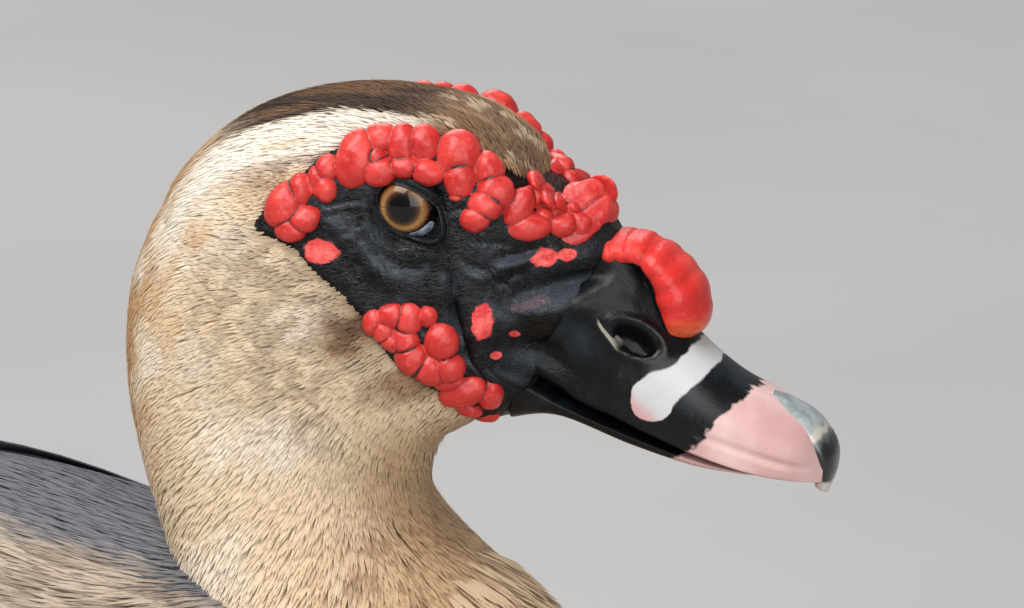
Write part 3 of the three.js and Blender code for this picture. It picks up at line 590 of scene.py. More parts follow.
# The clefts between lobes painted near black: black skin, and painted shade in the crease.
cleft = place.node("ShaderNodeSeparateColor", inputs={0: tinted(place, "cleft")})
flesh = (cleft.step(0.4, 0.95) * 0.95).mix(flesh, (0.020, 0.005, 0.007))
connect(shader, Base_Color=flesh, Roughness=fine * 0.2 + 0.24,
        Normal=relief_of(fine + broad * 0.6, 0.35, 0.0003))
for suffix, side in SIDES:
    for group, lobes in (("brow", BROW_LOBES), ("cheek", CHEEK_LOBES)):
        name = f"caruncles_{group}_{suffix}"
        cluster = lobe_cluster(name + "_flesh", lobes, side)
        dress(cluster, [name], material)

# The eyes: a ball with a brown iris, gold at its rim, round a wide pupil, under the wet dome of the
# cornea. Black lids with fine rings of wrinkles close round it, and the third lid shows in front below.
EYE_RADIUS, EYE_OUT = 8.5, 14.6
CORNEA_RISE, IRIS_RADIUS = 0.45, 5.7
GAZE = math.radians(-3)  # the iris looks a little back
LID_LONG, LID_HIGH, LID_TILT = 7.7, 4.9, math.radians(-33)

iris_stuff, shader, place = finish_of("eyeball", Coat_Weight=1.0, Coat_Roughness=0.02, Roughness=0.4,
                                      Coat_IOR=1.36, Specular_IOR_Level=0.05)
polar = place.node("ShaderNodeUVMap", {"uv_map": "Iris"})  # how far from the pupil, and which way
off, turn = axis(polar, 0), axis(polar, 1) * math.tau
flat = off.node("ShaderNodeCombineXYZ", inputs={0: turn.math("COSINE", turn) * 9,
                                                1: turn.math("SINE", turn) * 9, 2: off * 3})
fibres = cloud(flat, 2.6, 4.0)
ring = off.node("ShaderNodeValToRGB", {"stops": [
    (0.0, (0.002, 0.002, 0.003)), (0.44, (0.002, 0.002, 0.002)), (0.52, (0.024, 0.010, 0.005)),
    (0.63, (0.11, 0.045, 0.014)), (0.75, (0.42, 0.23, 0.08)), (0.86, (0.36, 0.17, 0.05)),
    (0.94, (0.12, 0.032, 0.010)), (1.0, (0.004, 0.004, 0.004))]}, {"Fac": off + (fibres - 0.5) * 0.09})
# Painted shade over the iris's upper side; its lower side is left brighter.
low_side = turn.math("COSINE", turn - 1.15).step(-0.9, 0.8)
iris_shaded_above = (low_side * -0.62 + 0.62).mix(ring, (0.20, 0.10, 0.07), "MULTIPLY")
connect(shader, Base_Color=(fibres.step(0.35, 0.7) * 0.45).mix(iris_shaded_above, (0.10, 0.04, 0.015), "MULTIPLY"))

lid_stuff, shader, place = finish_of("eyelid", IOR=1.4, Specular_IOR_Level=0.4)
grain = cloud(place, 1300.0)
connect(shader, Base_Color=grain.step(0.3, 0.75).mix((0.003, 0.003, 0.0035), (0.010, 0.011, 0.013)),
        Roughness=grain * 0.2 + 0.25, Normal=relief_of(grain, 0.4, 0.0002))

wet_stuff, shader, place = finish_of("third_eyelid", Coat_Weight=1.0, Coat_Roughness=0.03, Roughness=0.2)
film = cloud(place, 700.0, 2.0).step(0.3, 0.7)
connect(shader, Base_Color=film.mix((0.07, 0.085, 0.11), (0.24, 0.29, 0.36)))


def head_side(x, z, side):
    """How far the head's surface lies from the middle, at places seen from the side."""
    stations, turns = np.linspace(1.5, 5.5, 161), np.linspace(0.35, 2.6, 181)
    grid = surface(HEAD, *np.meshgrid(stations, turns, indexing="ij")).reshape(-1, 3)
    found = np.empty(len(x))
    for i, (a, b) in enumerate(zip(x, z)):
        near = np.argsort((grid[:, 0] - a) ** 2 + (grid[:, 2] - b) ** 2)[:4]
        found[i] = grid[near, 1].mean()
    return side * found


def lid_part(side):
    def place(share, turn):
        # share runs from inside the rim outwards, over a round rim and then finer and finer wrinkles
        reach = 0.86 + 0.5 * share
        along, across = LID_LONG * reach * np.cos(turn), LID_HIGH * reach * np.sin(turn)
        along += 0.8 * np.maximum(np.cos(turn), 0) ** 6  # drawn out to a corner in front
        x = along * math.cos(LID_TILT) - across * math.sin(LID_TILT) + 0.7
        z = along * math.sin(LID_TILT) + across * math.cos(LID_TILT) - 1.0
        off = np.hypot(x, z + 0.5)
        y = head_side(x, z, 1) - ORBIT_DEEP * ease(ORBIT_WIDE, 5.5, off)
        rim = 1.7 * np.exp(-((reach - 1.0) / 0.075) ** 2)
        wrinkles = 0.28 * np.sin((reach - 1.06) * 62 + 0.8 * np.sin(2 * turn)) * ease(1.02, 1.1, reach)
        wrinkles *= ease(1.36, 1.2, reach)
        radial = 0.16 * np.sin(46 * turn + 3 * np.sin(3 * turn)) * ease(1.0, 1.1, reach)
        radial *= ease(1.36, 1.15, reach)
        ball = EYE_OUT + np.sqrt(np.maximum(EYE_RADIUS ** 2 - x ** 2 - z ** 2, 0)) + CORNEA_RISE + 0.4
        y = np.maximum(y + rim, ball) + np.where(reach < 1.0, -2.6 * (1 - reach) / 0.14, wrinkles + radial)
        return np.stack([x, side * (y + 0.3 * ease(1.36, 1.2, reach) - 0.3), z], -1)
    return place


def open_ring(name, segments, rings, place):
    """A flat ring bridged from one circle to another: place(share, turn) gives the points."""
    made = add(bpy.ops.mesh.primitive_circle_add, name, vertices=segments)
    bpy.ops.object.mode_set(mode="EDIT")
    for _ in range(rings):
        bpy.ops.mesh.extrude_region_move(TRANSFORM_OT_translate={"value": (0, 0, 1)})
    bpy.ops.object.mode_set(mode="OBJECT")
    co = read(made)
    move(made, place(np.rint(co[:, 2]) / rings, np.arctan2(co[:, 1], co[:, 0])))
    return finish_shell(made)


for suffix, side in SIDES:
    def ball_part(share, turn):
        """The pole of the primitive is turned to the pupil, and the cornea is drawn out round it."""
        from_pole = 0.02 + share * 3.1
        radius = EYE_RADIUS + CORNEA_RISE * ease(1.0, 0.3, from_pole)
        p = np.stack([radius * np.sin(from_pole) * np.cos(turn), radius * np.sin(from_pole) * np.sin(turn),
                      radius * np.cos(from_pole)], -1)
        x, y, z = p[:, 0], side * p[:, 2], p[:, 1]
        return np.stack([x * math.cos(GAZE) + side * y * math.sin(GAZE), EYE_OUT * side + y, z], -1)

    eye = ringed(f"eyeball_{suffix}", 64, 64, ball_part)
    local = points_of(eye) - [0, EYE_OUT * side, 0]
    iris = eye.data.uv_layers.new(name="Iris")
    corner = np.empty(len(eye.data.loops), int)
    eye.data.loops.foreach_get("vertex_index", corner)
    away = np.hypot(local[:, 0] - EYE_RADIUS * math.sin(GAZE), local[:, 2]) / IRIS_RADIUS
    away = np.where(side * local[:, 1] > 0, away, 2.0)
    angle = np.arctan2(local[:, 2], local[:, 0]) / math.tau + 0.5
    iris.data.foreach_set("uv", np.stack([away, angle], -1)[corner].ravel())
    dress(eye, [f"eye_{suffix}"], iris_stuff)

    lids = open_ring(f"eyelids_{suffix}", 144, 26, lid_part(side))
    apply_modifier(lids, "SOLIDIFY", thickness=0.5 * MM, offset=-1)
    dress(lids, ["face"], lid_stuff)

    def third_lid_part(share, turn):
        """A wet fold bent round the ball, low in the front corner."""
        along = np.cos(0.05 + share * 3.04)
        across, out = (np.sqrt(1 - along ** 2) * f(turn) for f in (np.cos, np.sin))
        angle, reach = np.radians(-58 + 30 * along), 6.5 + 0.95 * across - 0.3 * along ** 2
        x, z = reach * np.cos(angle), reach * np.sin(angle)
        y = EYE_OUT + np.sqrt(EYE_RADIUS ** 2 - x ** 2 - z ** 2) + 0.1 + 0.5 * out
        return np.stack([x, side * y, z], -1)

    third = ringed(f"third_eyelid_{suffix}", 32, 40, third_lid_part)
    dress(third, ["face"], wet_stuff)

# The bill: a horny sheath on the jaw bones. Black at the base with a white saddle, then a black band and
# a pink tip, with a hard grey nail that hooks over the end. The nostrils open high on its sides.
UPPER_BILL = (np.array([  # the lower columns are the cutting edge
    (43, -6, 20, -37, 13, 2.4), (49, -16, 33, -43.5, 13.5, 2.4), (56, -27, 47, -49, 13.6, 2.4),
    (66, -36, 60, -53.6, 13.8, 2.4), (77, -41.8, 72, -56.6, 13.8, 2.4), (83.5, -45.8, 80.5, -58, 11.5, 2.3),
    (87.4, -51.5, 86.2, -59, 6, 2.2)]), 0.14)
LOWER_BILL = (np.array([
    (22, -37, 18.5, -49.5, 12, 2.3), (33, -43.5, 30, -47.6, 12, 2.3), (47, -49, 45.5, -52.8, 11.5, 2.3),
    (60, -53.4, 59, -56.2, 11, 2.3), (70, -55.9, 69.5, -57.2, 9.5, 2.3),
    (78, -57.3, 77.8, -57.9, 6, 2.3)]), 0.75)
NAIL = (np.array([
    (74.5, -40.6, 74, -42.8, 2.5, 2.2), (79, -42.4, 77.5, -46, 5, 2.2), (84, -45.4, 81.5, -50, 6.2, 2.2),
    (88, -51, 84, -54, 6.2, 2.2), (88.4, -56, 84.5, -57.5, 5, 2.2), (86.6, -61.4, 84, -60, 2.4, 2.2)]), 0.5)
NOSTRIL_X, NOSTRIL_Z, NOSTRIL_LONG, NOSTRIL_HIGH, NOSTRIL_TILT = 47, -28.3, 5.3, 2.7, -0.46
KNOB_BALLS = [  # x, z, radius in side view, half width
    (40.6, -11.2, 3.4, 8.6), (43.6, -11.2, 3.5, 8.2), (46.3, -11.5, 3.5, 7.6), (50.0, -13.8, 4.1, 8.2),
    (52.6, -16.8, 4.8, 8.6), (54.4, -20.4, 5.6, 8.8), (55.0, -24.0, 5.6, 8.4), (53.4, -26.4, 4.6, 7.4),
    (45.6, -19.0, 6.0, 6.4), (46, -24, 6.0, 6.6), (50, -22, 5.0, 6.6)]


def upper_part(share, turn):
    station = 6 * share
    bare = surface(UPPER_BILL, station, turn)
    x, y, z = bare.T
    along = (x - NOSTRIL_X) * math.cos(NOSTRIL_TILT) + (z - NOSTRIL_Z) * math.sin(NOSTRIL_TILT)
    across = (z - NOSTRIL_Z) * math.cos(NOSTRIL_TILT) - (x - NOSTRIL_X) * math.sin(NOSTRIL_TILT)
    off = np.hypot(along / NOSTRIL_LONG, across / NOSTRIL_HIGH)
    hole = -4.2 * ease(1.0, 0.62, off)
    rim = 1.0 * np.exp(-((off - 1.3) / 0.26) ** 2) * (0.35 + 0.65 * ease(-1.5, 1.5, across))
    sides = ease(6, 10, np.abs(y))
    uneven = ease(62, 44, x) * (0.5 * noise_at(bare, 5) + 0.12 * noise_at(bare, 1.7))
    edge = np.where(np.abs(turn) > 1.75, -0.3, 0.0)
    groove = np.exp(-((z + 47.4 + 0.3 * (x - 61.2)) / 0.6) ** 2)  # along the pink tip, above its edge
    edge -= 0.6 * groove * ease(59, 63, x) * ease(86, 81, x)
    out = sides * (hole + rim + swelling(x, z) * ease(54, 44, x)) + uneven + edge
    out = out - 1.2 * ease(0.05, 0, share)
    points = surface(UPPER_BILL, station, turn, out)
    points[:, 0] -= 5 * ease(0.05, 0, share)  # its hind edge goes in under the skin of the face
    return points


upper = ringed("upper_bill", 144, 130, upper_part)
lower = ringed("lower_bill", 96, 90, lambda share, turn: surface(LOWER_BILL, 5 * share, turn))
nail = ringed("nail_of_bill", 64, 48, lambda share, turn: surface(NAIL, 5 * share, turn, 0.25))
balls = []
for x, z, radius, wide in KNOB_BALLS:
    balls.append(add(bpy.ops.mesh.primitive_ico_sphere_add, subdivisions=4, radius=radius * MM,
                     location=in_frame((x, 0, z))))
    balls[-1].scale = (1, wide / radius, 1)
knob = joined("knob", balls)
bpy.ops.object.transform_apply(location=True, rotation=True, scale=True)
run_together(knob, voxel=0.5, iterations=22)
points = points_of(knob)
around = np.arctan2(points[:, 2] + 21, points[:, 0] - 45)  # round the hollow behind the crescent
lumps = noise_at(points, 4) + 0.4 * noise_at(points, 1.2)
folds = sum(deep * np.exp(-((around - angle) / 0.035) ** 2)
            for angle, deep in ((1.93, 0.4), (1.66, 0.5), (1.3, 0.2)))
move(knob, points + read(knob, "normal") * (0.45 + 0.16 * lumps - folds)[:, None])


def bill_paint(name, on_knob):
    """The sheath's markings, in the side view of the bill, with ragged edges, and a painted fold highlight.
    """
    material, shader, place = finish_of(name, Coat_Roughness=0.2, IOR=1.45, Specular_IOR_Level=0.26)
    x, _, z = from_eyes(place)
    rough, broad, fine = cloud(place, 260.0, 5.0) - 0.5, cloud(place, 70.0) - 0.5, cloud(place, 1500.0)
    cells = place.node("ShaderNodeTexVoronoi", {"feature": "DISTANCE_TO_EDGE"},
                       {"Vector": place, "Scale": 500.0})
    slant, fall = x - z + rough * 3 + broad * 2, x + z + rough * 3 + broad * 3
    black = (broad + rough * 0.5).step(0.0, 0.22).mix((0.0018, 0.0021, 0.0028), (0.008, 0.011, 0.015))
    band = slant.step(85.0, 86.2) * (slant - fall.step(15, 22) * 3).step(85.0, 86.2) * slant.step(98.2, 97.2)
    cap = (((slant - 92) / 6.4) ** 2 + ((fall - 11) / 6.6) ** 2).step(1.12, 0.95)
    white = cap.math("MAXIMUM", band * fall.step(10.4, 11.4), cap)
    saddle = fall.step(10, 5).mix((0.44, 0.445, 0.44), (0.46, 0.27, 0.27))
    # A thin pale streak along a skin fold near the bill's root: a painted highlight.
    streak = z + 27 + (x - 41.3) * 1.3 + rough * 1.5
    streak = streak.math("ABSOLUTE", streak).step(0.9, 0.4) * x.step(39, 40) * x.step(44.2, 42.2)
    black = (streak * 0.5).mix(black, (0.55, 0.52, 0.42))
    colour = white.mix(black, saddle)
    pinked = (slant + rough * 6).step(109.6, 111.2)
    tip = (broad + 0.5).step(0.3, 0.7).mix((0.44, 0.25, 0.24), (0.56, 0.38, 0.36))
    colour = pinked.mix(colour, tip)
    wrinkled = x.step(56, 44) * (1 - white)
    height = cells.step(0.0, 0.2) * 0.08 * wrinkled + rough * wrinkled * 0.8 + fine * 0.3 + broad * 0.5
    if on_knob:
        hollow = (((x - 44) / 6.8) ** 2 + ((z + 20.5) / 8.0) ** 2 + rough * 0.35).step(1.05, 0.9)
        under = (x + (z + 20) * 0.45 + rough * 1.5).step(50.9, 50.2) * z.step(-17, -19)
        inner = hollow.math("MAXIMUM", hollow, under)
        fleshy = (broad + 0.5).step(0.35, 0.65).mix((0.50, 0.024, 0.020), (0.64, 0.060, 0.045))
        amber = (z + rough * 6).step(-23, -29) * 0.6
        fleshy = amber.mix(fleshy, (0.78, 0.17, 0.04))
        spots = place.node("ShaderNodeTexVoronoi", inputs={"Vector": place, "Scale": 240.0})
        fleshy = (spots.step(0.07, 0.04) * 0.6).mix(fleshy, (0.05, 0.01, 0.012))
        fleshy = (fine.step(0.6, 0.8) * 0.35).mix(fleshy, (0.88, 0.24, 0.18))
        colour = inner.mix(fleshy, black)
        shader.inputs["Subsurface Weight"].default_value = 0.15
        shader.inputs["Subsurface Scale"].default_value = 0.003
    connect(shader, Base_Color=colour, Roughness=fine * 0.15 + 0.24 + x.step(52, 44) * 0.08,
            Coat_Weight=x.step(44, 52) * 0.15, Normal=relief_of(height, 0.5, 0.0004))
    return material


dress(upper, ["bill_upper"], bill_paint("bill_sheath", False))
dress(lower, ["bill_lower"], upper.data.materials[0])
dress(knob, ["bill_knob"], bill_paint("knob_flesh", True))
material, shader, place = finish_of("nail_horn", Coat_Weight=0.4, Coat_Roughness=0.12, IOR=1.5)
x, _, z = from_eyes(place)
grain = cloud(place, 400.0, 4.0)
horn = (grain + x * 0.02).step(1.9, 2.3).mix((0.17, 0.20, 0.215), (0.30, 0.33, 0.34))
horn = (x - z + grain * 6).step(134, 141).mix(horn, (0.008, 0.009, 0.011))
seam = x - z + grain * 5
horn = (seam.step(134.4, 135.4) * seam.step(137.4, 136.4) * 0.75).mix(horn, (0.50, 0.46, 0.38))
horn = (z + grain * 2).step(-57.3, -58.6).mix(horn, (0.55, 0.48, 0.44))
connect(shader, Base_Color=horn, Roughness=grain * 0.2 + 0.2, Normal=relief_of(grain, 0.2, 0.0003))
dress(nail, ["bill_nail"], material)

# The plumage. Each feather is a thin vane rooted in the skin and lying along the body, and the next one
# covers its root. On the head they are fine and hair-like, on the neck longer and softer, and the body
# carries broad contour feathers. The ways they lie are set at places seen from the side.
LIE = [  # x, z in mm, and the way the feathers point in degrees, 180 being straight back
    (27, 2, 152), (14, 14, 165), (-5, 20, 180), (-25, 18, 198), (-45, 9, 214), (-60, -8, 238),
    (-67, -28, 258), (-68, -50, 268), (-30, -3, 184), (-35, -10, 182), (-26, -24, 188), (-45, -34, 205),
    (-16, -36, 200), (-46, -52, 222), (-29, -58, 236), (-15, -54, 245), (0, -56, 262), (-9, -71, 262),
    (12, -75, 285), (32, -79, 300), (-34, -81, 255), (13, -47, 196), (0, -50, 215), (50, -110, 285),
    (-40, -105, 232), (0, -100, 262), (62, -150, 262), (64, -180, 252), (45, -218, 212), (0, -246, 188),
    (-100, -262, 180), (-250, -235, 174), (-350, -180, 166), (10, -170, 215), (-60, -170, 190),
    (-180, -165, 182), (-300, -150, 178), (-70, -88, 184), (-180, -78, 181), (-300, -102, 184)]
lie_places = np.array([(x, z) for x, z, _ in LIE], float)
lie_ways = np.array([(math.cos(math.radians(a)), math.sin(math.radians(a))) for _, _, a in LIE])
random = np.random.default_rng(41)


def unit(vectors):
    return vectors / np.linalg.norm(vectors, axis=-1, keepdims=True)


def lies_at(points, normals):
    """The way the feathers lie at places on the skin."""
    far = ((points[:, None, (0, 2)] - lie_places) ** 2).sum(-1) + 30
    way = (lie_ways / far[..., None] ** 1.6).sum(1)
    lie = np.stack([way[:, 0], np.zeros(len(way)), way[:, 1]], -1)
    return unit(lie - normals * (lie * normals).sum(-1, keepdims=True))


def shape_of(piece):
    """The points and triangles of a modelled feather, whose x runs from root to tip."""
    apply_modifier(piece, "TRIANGULATE")
    points = read(piece)
    triangles = np.array([tuple(polygon.vertices) for polygon in piece.data.polygons])
    bpy.data.objects.remove(piece)
    return points, triangles


def model_tuft():
    """A fine head feather: a flat three-sided spindle, widest past its middle."""
    piece = add(bpy.ops.mesh.primitive_uv_sphere_add, segments=3, ring_count=3)
    for vertex in piece.data.vertices:
        x, y, z = vertex.co
        ring = round(math.acos(max(-1, min(1, z))) / math.pi * 3)
        turn = math.atan2(y, x) + math.pi / 2
        wide = (0, 0.95, 0.85, 0)[ring]
        vertex.co = ((0, 0.30, 0.74, 1)[ring], 1.15 * wide * math.cos(turn), wide * (0.3 + math.sin(turn)))
    return shape_of(piece)


def model_vane(along, across, point=0.5, root=0.45, camber=0.5, thickness=0.16, shaft=0.0):
    """A broad feather: a grid with a round tip, arched across, with a raised shaft and a thickness."""
    piece = add(bpy.ops.mesh.primitive_grid_add, x_subdivisions=along, y_subdivisions=across)
    for vertex in piece.data.vertices:
        f, a = (vertex.co.x + 1) / 2, vertex.co.y
        f = 1 - (1 - f) ** 1.8  # closer together towards the tip
        wide = root + (1 - root) * min(1, f / 0.35) ** 0.7
        if f > point:
            wide *= math.sqrt(max(0, 1 - ((f - point) / (1.01 - point)) ** 2))
        middle = shaft * (1 - f) if abs(a) < 0.01 else 0
        vertex.co = (f - 0.03 * a * a, a * wide, middle - camber * a * a * wide)
    apply_modifier(piece, "TRIANGULATE")
    apply_modifier(piece, "SOLIDIFY", thickness=thickness, offset=0)
    return shape_of(piece)


def on_skin(tree, points):
    """The nearest places on the skin, and the normals there."""
    found = [tree.find_nearest(Vector(p)) for p in points]
    return np.array([f[0] for f in found]), np.array([f[1] for f in found])


def lay_feathers(tree, shape, roots, long, wide, thick, lift, sunk=0.5, sway=0.0):
    """Copies of a feather over the skin. Returns their points, one row of points for each feather."""
    start, up = on_skin(tree, roots)
    way = lies_at(start, up)
    side = np.cross(up, way)
    heading = unit(way + side * (sway * random.normal(size=len(way)))[:, None])
    line, ups, here = [start - up * sunk], [up], start
    for share in (0.55, 1.0):  # of the lift, at the feather's middle and at its tip
        here, normal = on_skin(tree, here + heading * (long / 2)[:, None])
        heading = unit(heading - normal * (heading * normal).sum(-1, keepdims=True))
        line.append(here + normal * (lift * share)[:, None])
        ups.append(normal)
    f = shape[0][:, 0][None, :, None]
    weights = (2 * (f - 0.5) * (f - 1), -4 * f * (f - 1), 2 * f * (f - 0.5))
    middle = sum(w * p[:, None] for w, p in zip(weights, line))
    up = unit(sum(w * p[:, None] for w, p in zip(weights, ups)))
    side = unit(np.cross(up, (line[2] - line[0])[:, None]))
    a, b = shape[0][:, 1][None, :, None], shape[0][:, 2][None, :, None]
    return middle + side * a * (wide / 2)[:, None, None] + up * b * thick[:, None, None]


def feather_piece(name, shape, points, colours, fringes, patch, patch_size, material, nodes,
                  smooth=True):
    """One mesh of all the feathers, with each one's colours and its patch on the skin's unwrap."""
    count, each = points.shape[:2]
    triangles = (shape[1][None] + (np.arange(count) * each)[:, None, None]).reshape(-1, 3)
    mesh = bpy.data.meshes.new(name)
    mesh.vertices.add(count * each)
    mesh.vertices.foreach_set("co", in_frame(points.reshape(-1, 3)).ravel())
    mesh.loops.add(triangles.size)
    mesh.loops.foreach_set("vertex_index", triangles.ravel())
    mesh.polygons.add(len(triangles))
    mesh.polygons.foreach_set("loop_start", np.arange(0, triangles.size, 3))
    mesh.polygons.foreach_set("use_smooth", np.full(len(triangles), smooth))
    f, a = shape[0][:, 0], shape[0][:, 1]
    on_vane = np.tile(np.stack([a / 2 + 0.5, f], -1), (count, 1))
    on_patch = patch[:, None] + (np.stack([a / 2, f - 0.5], -1) * patch_size)[None]
    for layer, places in (("OFBake", on_patch.reshape(-1, 2)), ("Vane", on_vane)):
        mesh.uv_layers.new(name=layer).data.foreach_set("uv", places[triangles.ravel()].ravel())
    for layer, tones in (("plumage", colours), ("fringe", fringes)):
        tint(mesh, layer, np.repeat(np.clip(tones, 0, 0.9), each, axis=0))
    mesh.update(calc_edges=True)
    piece = bpy.data.objects.new(name, mesh)
    bpy.context.scene.collection.objects.link(piece)
    dress(piece, nodes, material)
    return piece


def skin_tree(*pieces):
    """The skins as one surface to lay feathers on, in mm."""
    points, faces = [], []
    for piece in pieces:
        start = sum(len(p) for p in points)
        points.append(points_of(piece))
        faces += [[v + start for v in polygon.vertices] for polygon in piece.data.polygons]
    return BVHTree.FromPolygons([tuple(p) for p in np.concatenate(points)], faces)


def scatter(form, first, last, count, density, out):
    """Places spread over part of a form, with their stations and turns."""
    tries = count * 12
    station = random.uniform(first, last, tries)
    turn = random.uniform(-math.pi, math.pi, tries)
    here = surface(form, station, turn, out(station))
    ahead = surface(form, station + 0.01, turn, out(station)) - here
    beyond = surface(form, station, turn + 0.01, out(station)) - here
    area = np.linalg.norm(np.cross(ahead, beyond), axis=-1) * density(here, station, turn)
    kept = random.choice(len(area), count, replace=False, p=area / area.sum())
    return here[kept], station[kept], turn[kept]


CREAM, WHITE, TAN = (0.63, 0.49, 0.335), (0.76, 0.69, 0.59), (0.42, 0.26, 0.135)
BROWN, DARK, GOLD = (0.19, 0.095, 0.045), (0.046, 0.025, 0.016), (0.46, 0.25, 0.095)
ASH, SLATE, FAWN = (0.40, 0.30, 0.205), (0.105, 0.115, 0.140), (0.56, 0.46, 0.36)


def painted(count, marks):
    """Colours of many feathers: cream at first, then each mark's share of its tone over it."""
    colours = np.tile(np.array(CREAM), (count, 1))
    for share, tone in marks:
        colours = colours + (np.array(tone) - colours) * np.clip(share, 0, 1)[:, None]
    return colours


def head_colours(p, turn, station):
    """The markings of the head and neck: a dark crest, a white streak below it, a brown-flecked cheek,
    a cream neck that turns tawny on its front, and painted shade in brown and tan under the jaw."""
    x, y, z = p.T
    streak = noise_at(np.stack([station * 1.1, turn * 9, 0 * turn], -1), 1.0, 1)
    fleck, broad = noise_at(p, 3.2, 2), noise_at(p, 14, 3)
    tall = np.abs(turn)
    cheek = ease(7.6, 5.8, station) * ease(0.95, 1.3, tall)
    band = ease(-33, -38, z) * ease(-16, -9, x) * ease(-62, -48, z)
    near = np.hypot((x + 8) / 7, (z + 25) / 7)
    # under is a brown patch low on the cheek by the jaw, and throat is tan on the head's underside: both are
    # painted shade under the jaw.
    under = np.hypot((x - 1) / 9, (z + 38) / 3.4)
    front = ease(-38, 4, x + 10 * broad) * ease(-52, -72, z)
    throat = ease(2.1, 2.7, tall + 0.1 * fleck) * ease(9.0, 7.2, station)
    nape = ease(1.3, 0.5, tall + 0.5 * streak) * ease(4.6, 5.6, station) * ease(9.5, 8, station)
    back_streak = ease(1.15, 0.8, tall) * ease(4.2, 5.2, station) * ease(7.6, 6.4, station)
    behind = ease(0.72, 0.86, tall) * ease(1.35, 1.1, tall)
    behind *= ease(3.1, 3.6, station) * ease(5.1, 4.4, station)
    forehead = ease(1.1, 0.85, tall) * ease(3.7, 3.1, station + 0.2 * streak)
    white = ease(0.36, 0.46, tall + 0.08 * streak) * ease(0.92, 0.78, tall + 0.1 * streak)
    white *= ease(2.8, 3.3, station) * ease(6.6, 5.6, station)
    crown = ease(0.46, 0.34, tall + 0.10 * streak) * ease(2.7, 3.3, station + 0.2 * streak)
    crown *= ease(5.1, 4.5, station + 0.4 * streak)
    return painted(len(p), (
        (0.55 * ease(-0.1, 0.45, broad + 0.4 * fleck), WHITE),
        (0.9 * cheek * ease(-0.45, 0.25, fleck + 0.3 * streak), ASH),
        (0.8 * band, CREAM),
        (ease(1.4, 0.2, near + 0.9 * fleck) * 0.9, BROWN),
        (ease(0.75, 0.1, near + 0.6 * fleck) * 0.6, DARK),
        # painted shade under the jaw
        (ease(1.4, 0.4, under + 0.5 * fleck) * 0.8, BROWN),
        (front * 0.85, TAN),
        (front * 0.6 * ease(0.0, 0.4, noise_at(p, 2.2, 4) + 0.2 * broad), BROWN),
        # painted shade on the head's underside
        (0.7 * throat, TAN),
        (nape * 0.8 * ease(-0.3, 0.2, noise_at(p, 9, 5)), GOLD),
        (back_streak * ease(0.05, 0.4, streak) * 0.6, TAN),
        (behind * ease(-0.3, 0.1, streak + 0.5 * fleck) * 0.85, BROWN),
        (behind * ease(0.1, 0.4, streak - 0.3 * fleck) * 0.7, TAN),
        (forehead * 0.9, BROWN),
        (forehead * ease(0.0, 0.35, streak + 0.3 * fleck) * 0.8, TAN),
        (forehead * ease(0.25, 0.5, fleck - 0.5 * streak) * 0.7, CREAM),
        (white * ease(-0.6, -0.1, streak), WHITE),
        (crown, DARK),
        (crown * ease(0.05, 0.45, streak + 0.3 * fleck) * 0.75, BROWN)))


def body_colours(p):
    """The body: a fawn breast flecked with brown, a cream belly, and slate on the back and tail root."""
    x, y, z = p.T
    broad, fleck = noise_at(p, 38, 6), noise_at(p, 9, 7)
    breast = ease(-90, 20, x + 25 * broad) * ease(-235, -175, z + 15 * broad)
    back = ease(-150, -118, z + 10 * broad) * ease(-20, -75, x + 18 * broad)
    flank = ease(-60, -130, x) * ease(-150, -190, z) * ease(-262, -222, z)
    vent = ease(-300, -345, x) * ease(-140, -160, z)
    return painted(len(p), (
        (breast * 0.8, TAN),
        (breast * ease(0.0, 0.35, 0.4 * fleck + noise_at(p, 3.4, 11)) * 0.4, BROWN),
        (back * 0.9, SLATE),
        (back * ease(-0.1, 0.5, broad + 0.4 * fleck) * 0.2, FAWN),
        (flank * ease(-0.1, 0.3, broad) * 0.5, FAWN),
        (vent * 0.7, SLATE)))


def plumage_finish(name, sheen, roughness, barbs, fringed, root_shade=0.35, shaft_shade=0.5):
    """Soft keratin: the colours of each feather, darker at the root as painted shade, with fine barbs."""
    material, shader, place = finish_of(name, Sheen_Weight=sheen, Sheen_Roughness=0.4, IOR=1.45,
                                        Specular_IOR_Level=0.25)
    colour, cloudy = tinted(place, "plumage"), cloud(place, 800.0)
    vane = place.node("ShaderNodeUVMap", {"uv_map": "Vane"})
    across, along = axis(vane, 0) - 0.5, axis(vane, 1)
    from_shaft = across.math("ABSOLUTE", across)
    barb = (along - from_shaft * 0.9) * barbs + cloudy * 2
    comb = barb.math("SINE", barb) * 0.5 + 0.5
    if fringed:
        edge = (from_shaft + (along - 0.93).step(0.0, 0.07) * 0.3 + cloudy * 0.03).step(0.44, 0.50)
        shaft = from_shaft.step(0.035, 0.012) * shaft_shade
        colour = edge.mix(shaft.mix(colour, (0.05, 0.035, 0.026)), tinted(place, "fringe"))
    # Painted shade towards each feather's root, where the next feather covers it. The comb and cloud terms
    # are the barbs' own tone.
    shade = along.step(-0.1, 0.5) * root_shade + (1 - root_shade)
    shade = shade * (comb * 0.08 + 0.92) * (cloudy * 0.1 + 0.95)
    shaded_at_root = (1 - shade).mix(colour, (0.03, 0.022, 0.016))
    connect(shader, Base_Color=shaded_at_root, Roughness=cloudy * 0.2 + (roughness - 0.1),
            Normal=relief_of(comb, 0.3, 0.0002))
    return material


def blend_to_body(colours, points, share):
    return colours + (body_colours(points) - colours) * np.clip(share, 0, 1)[:, None]


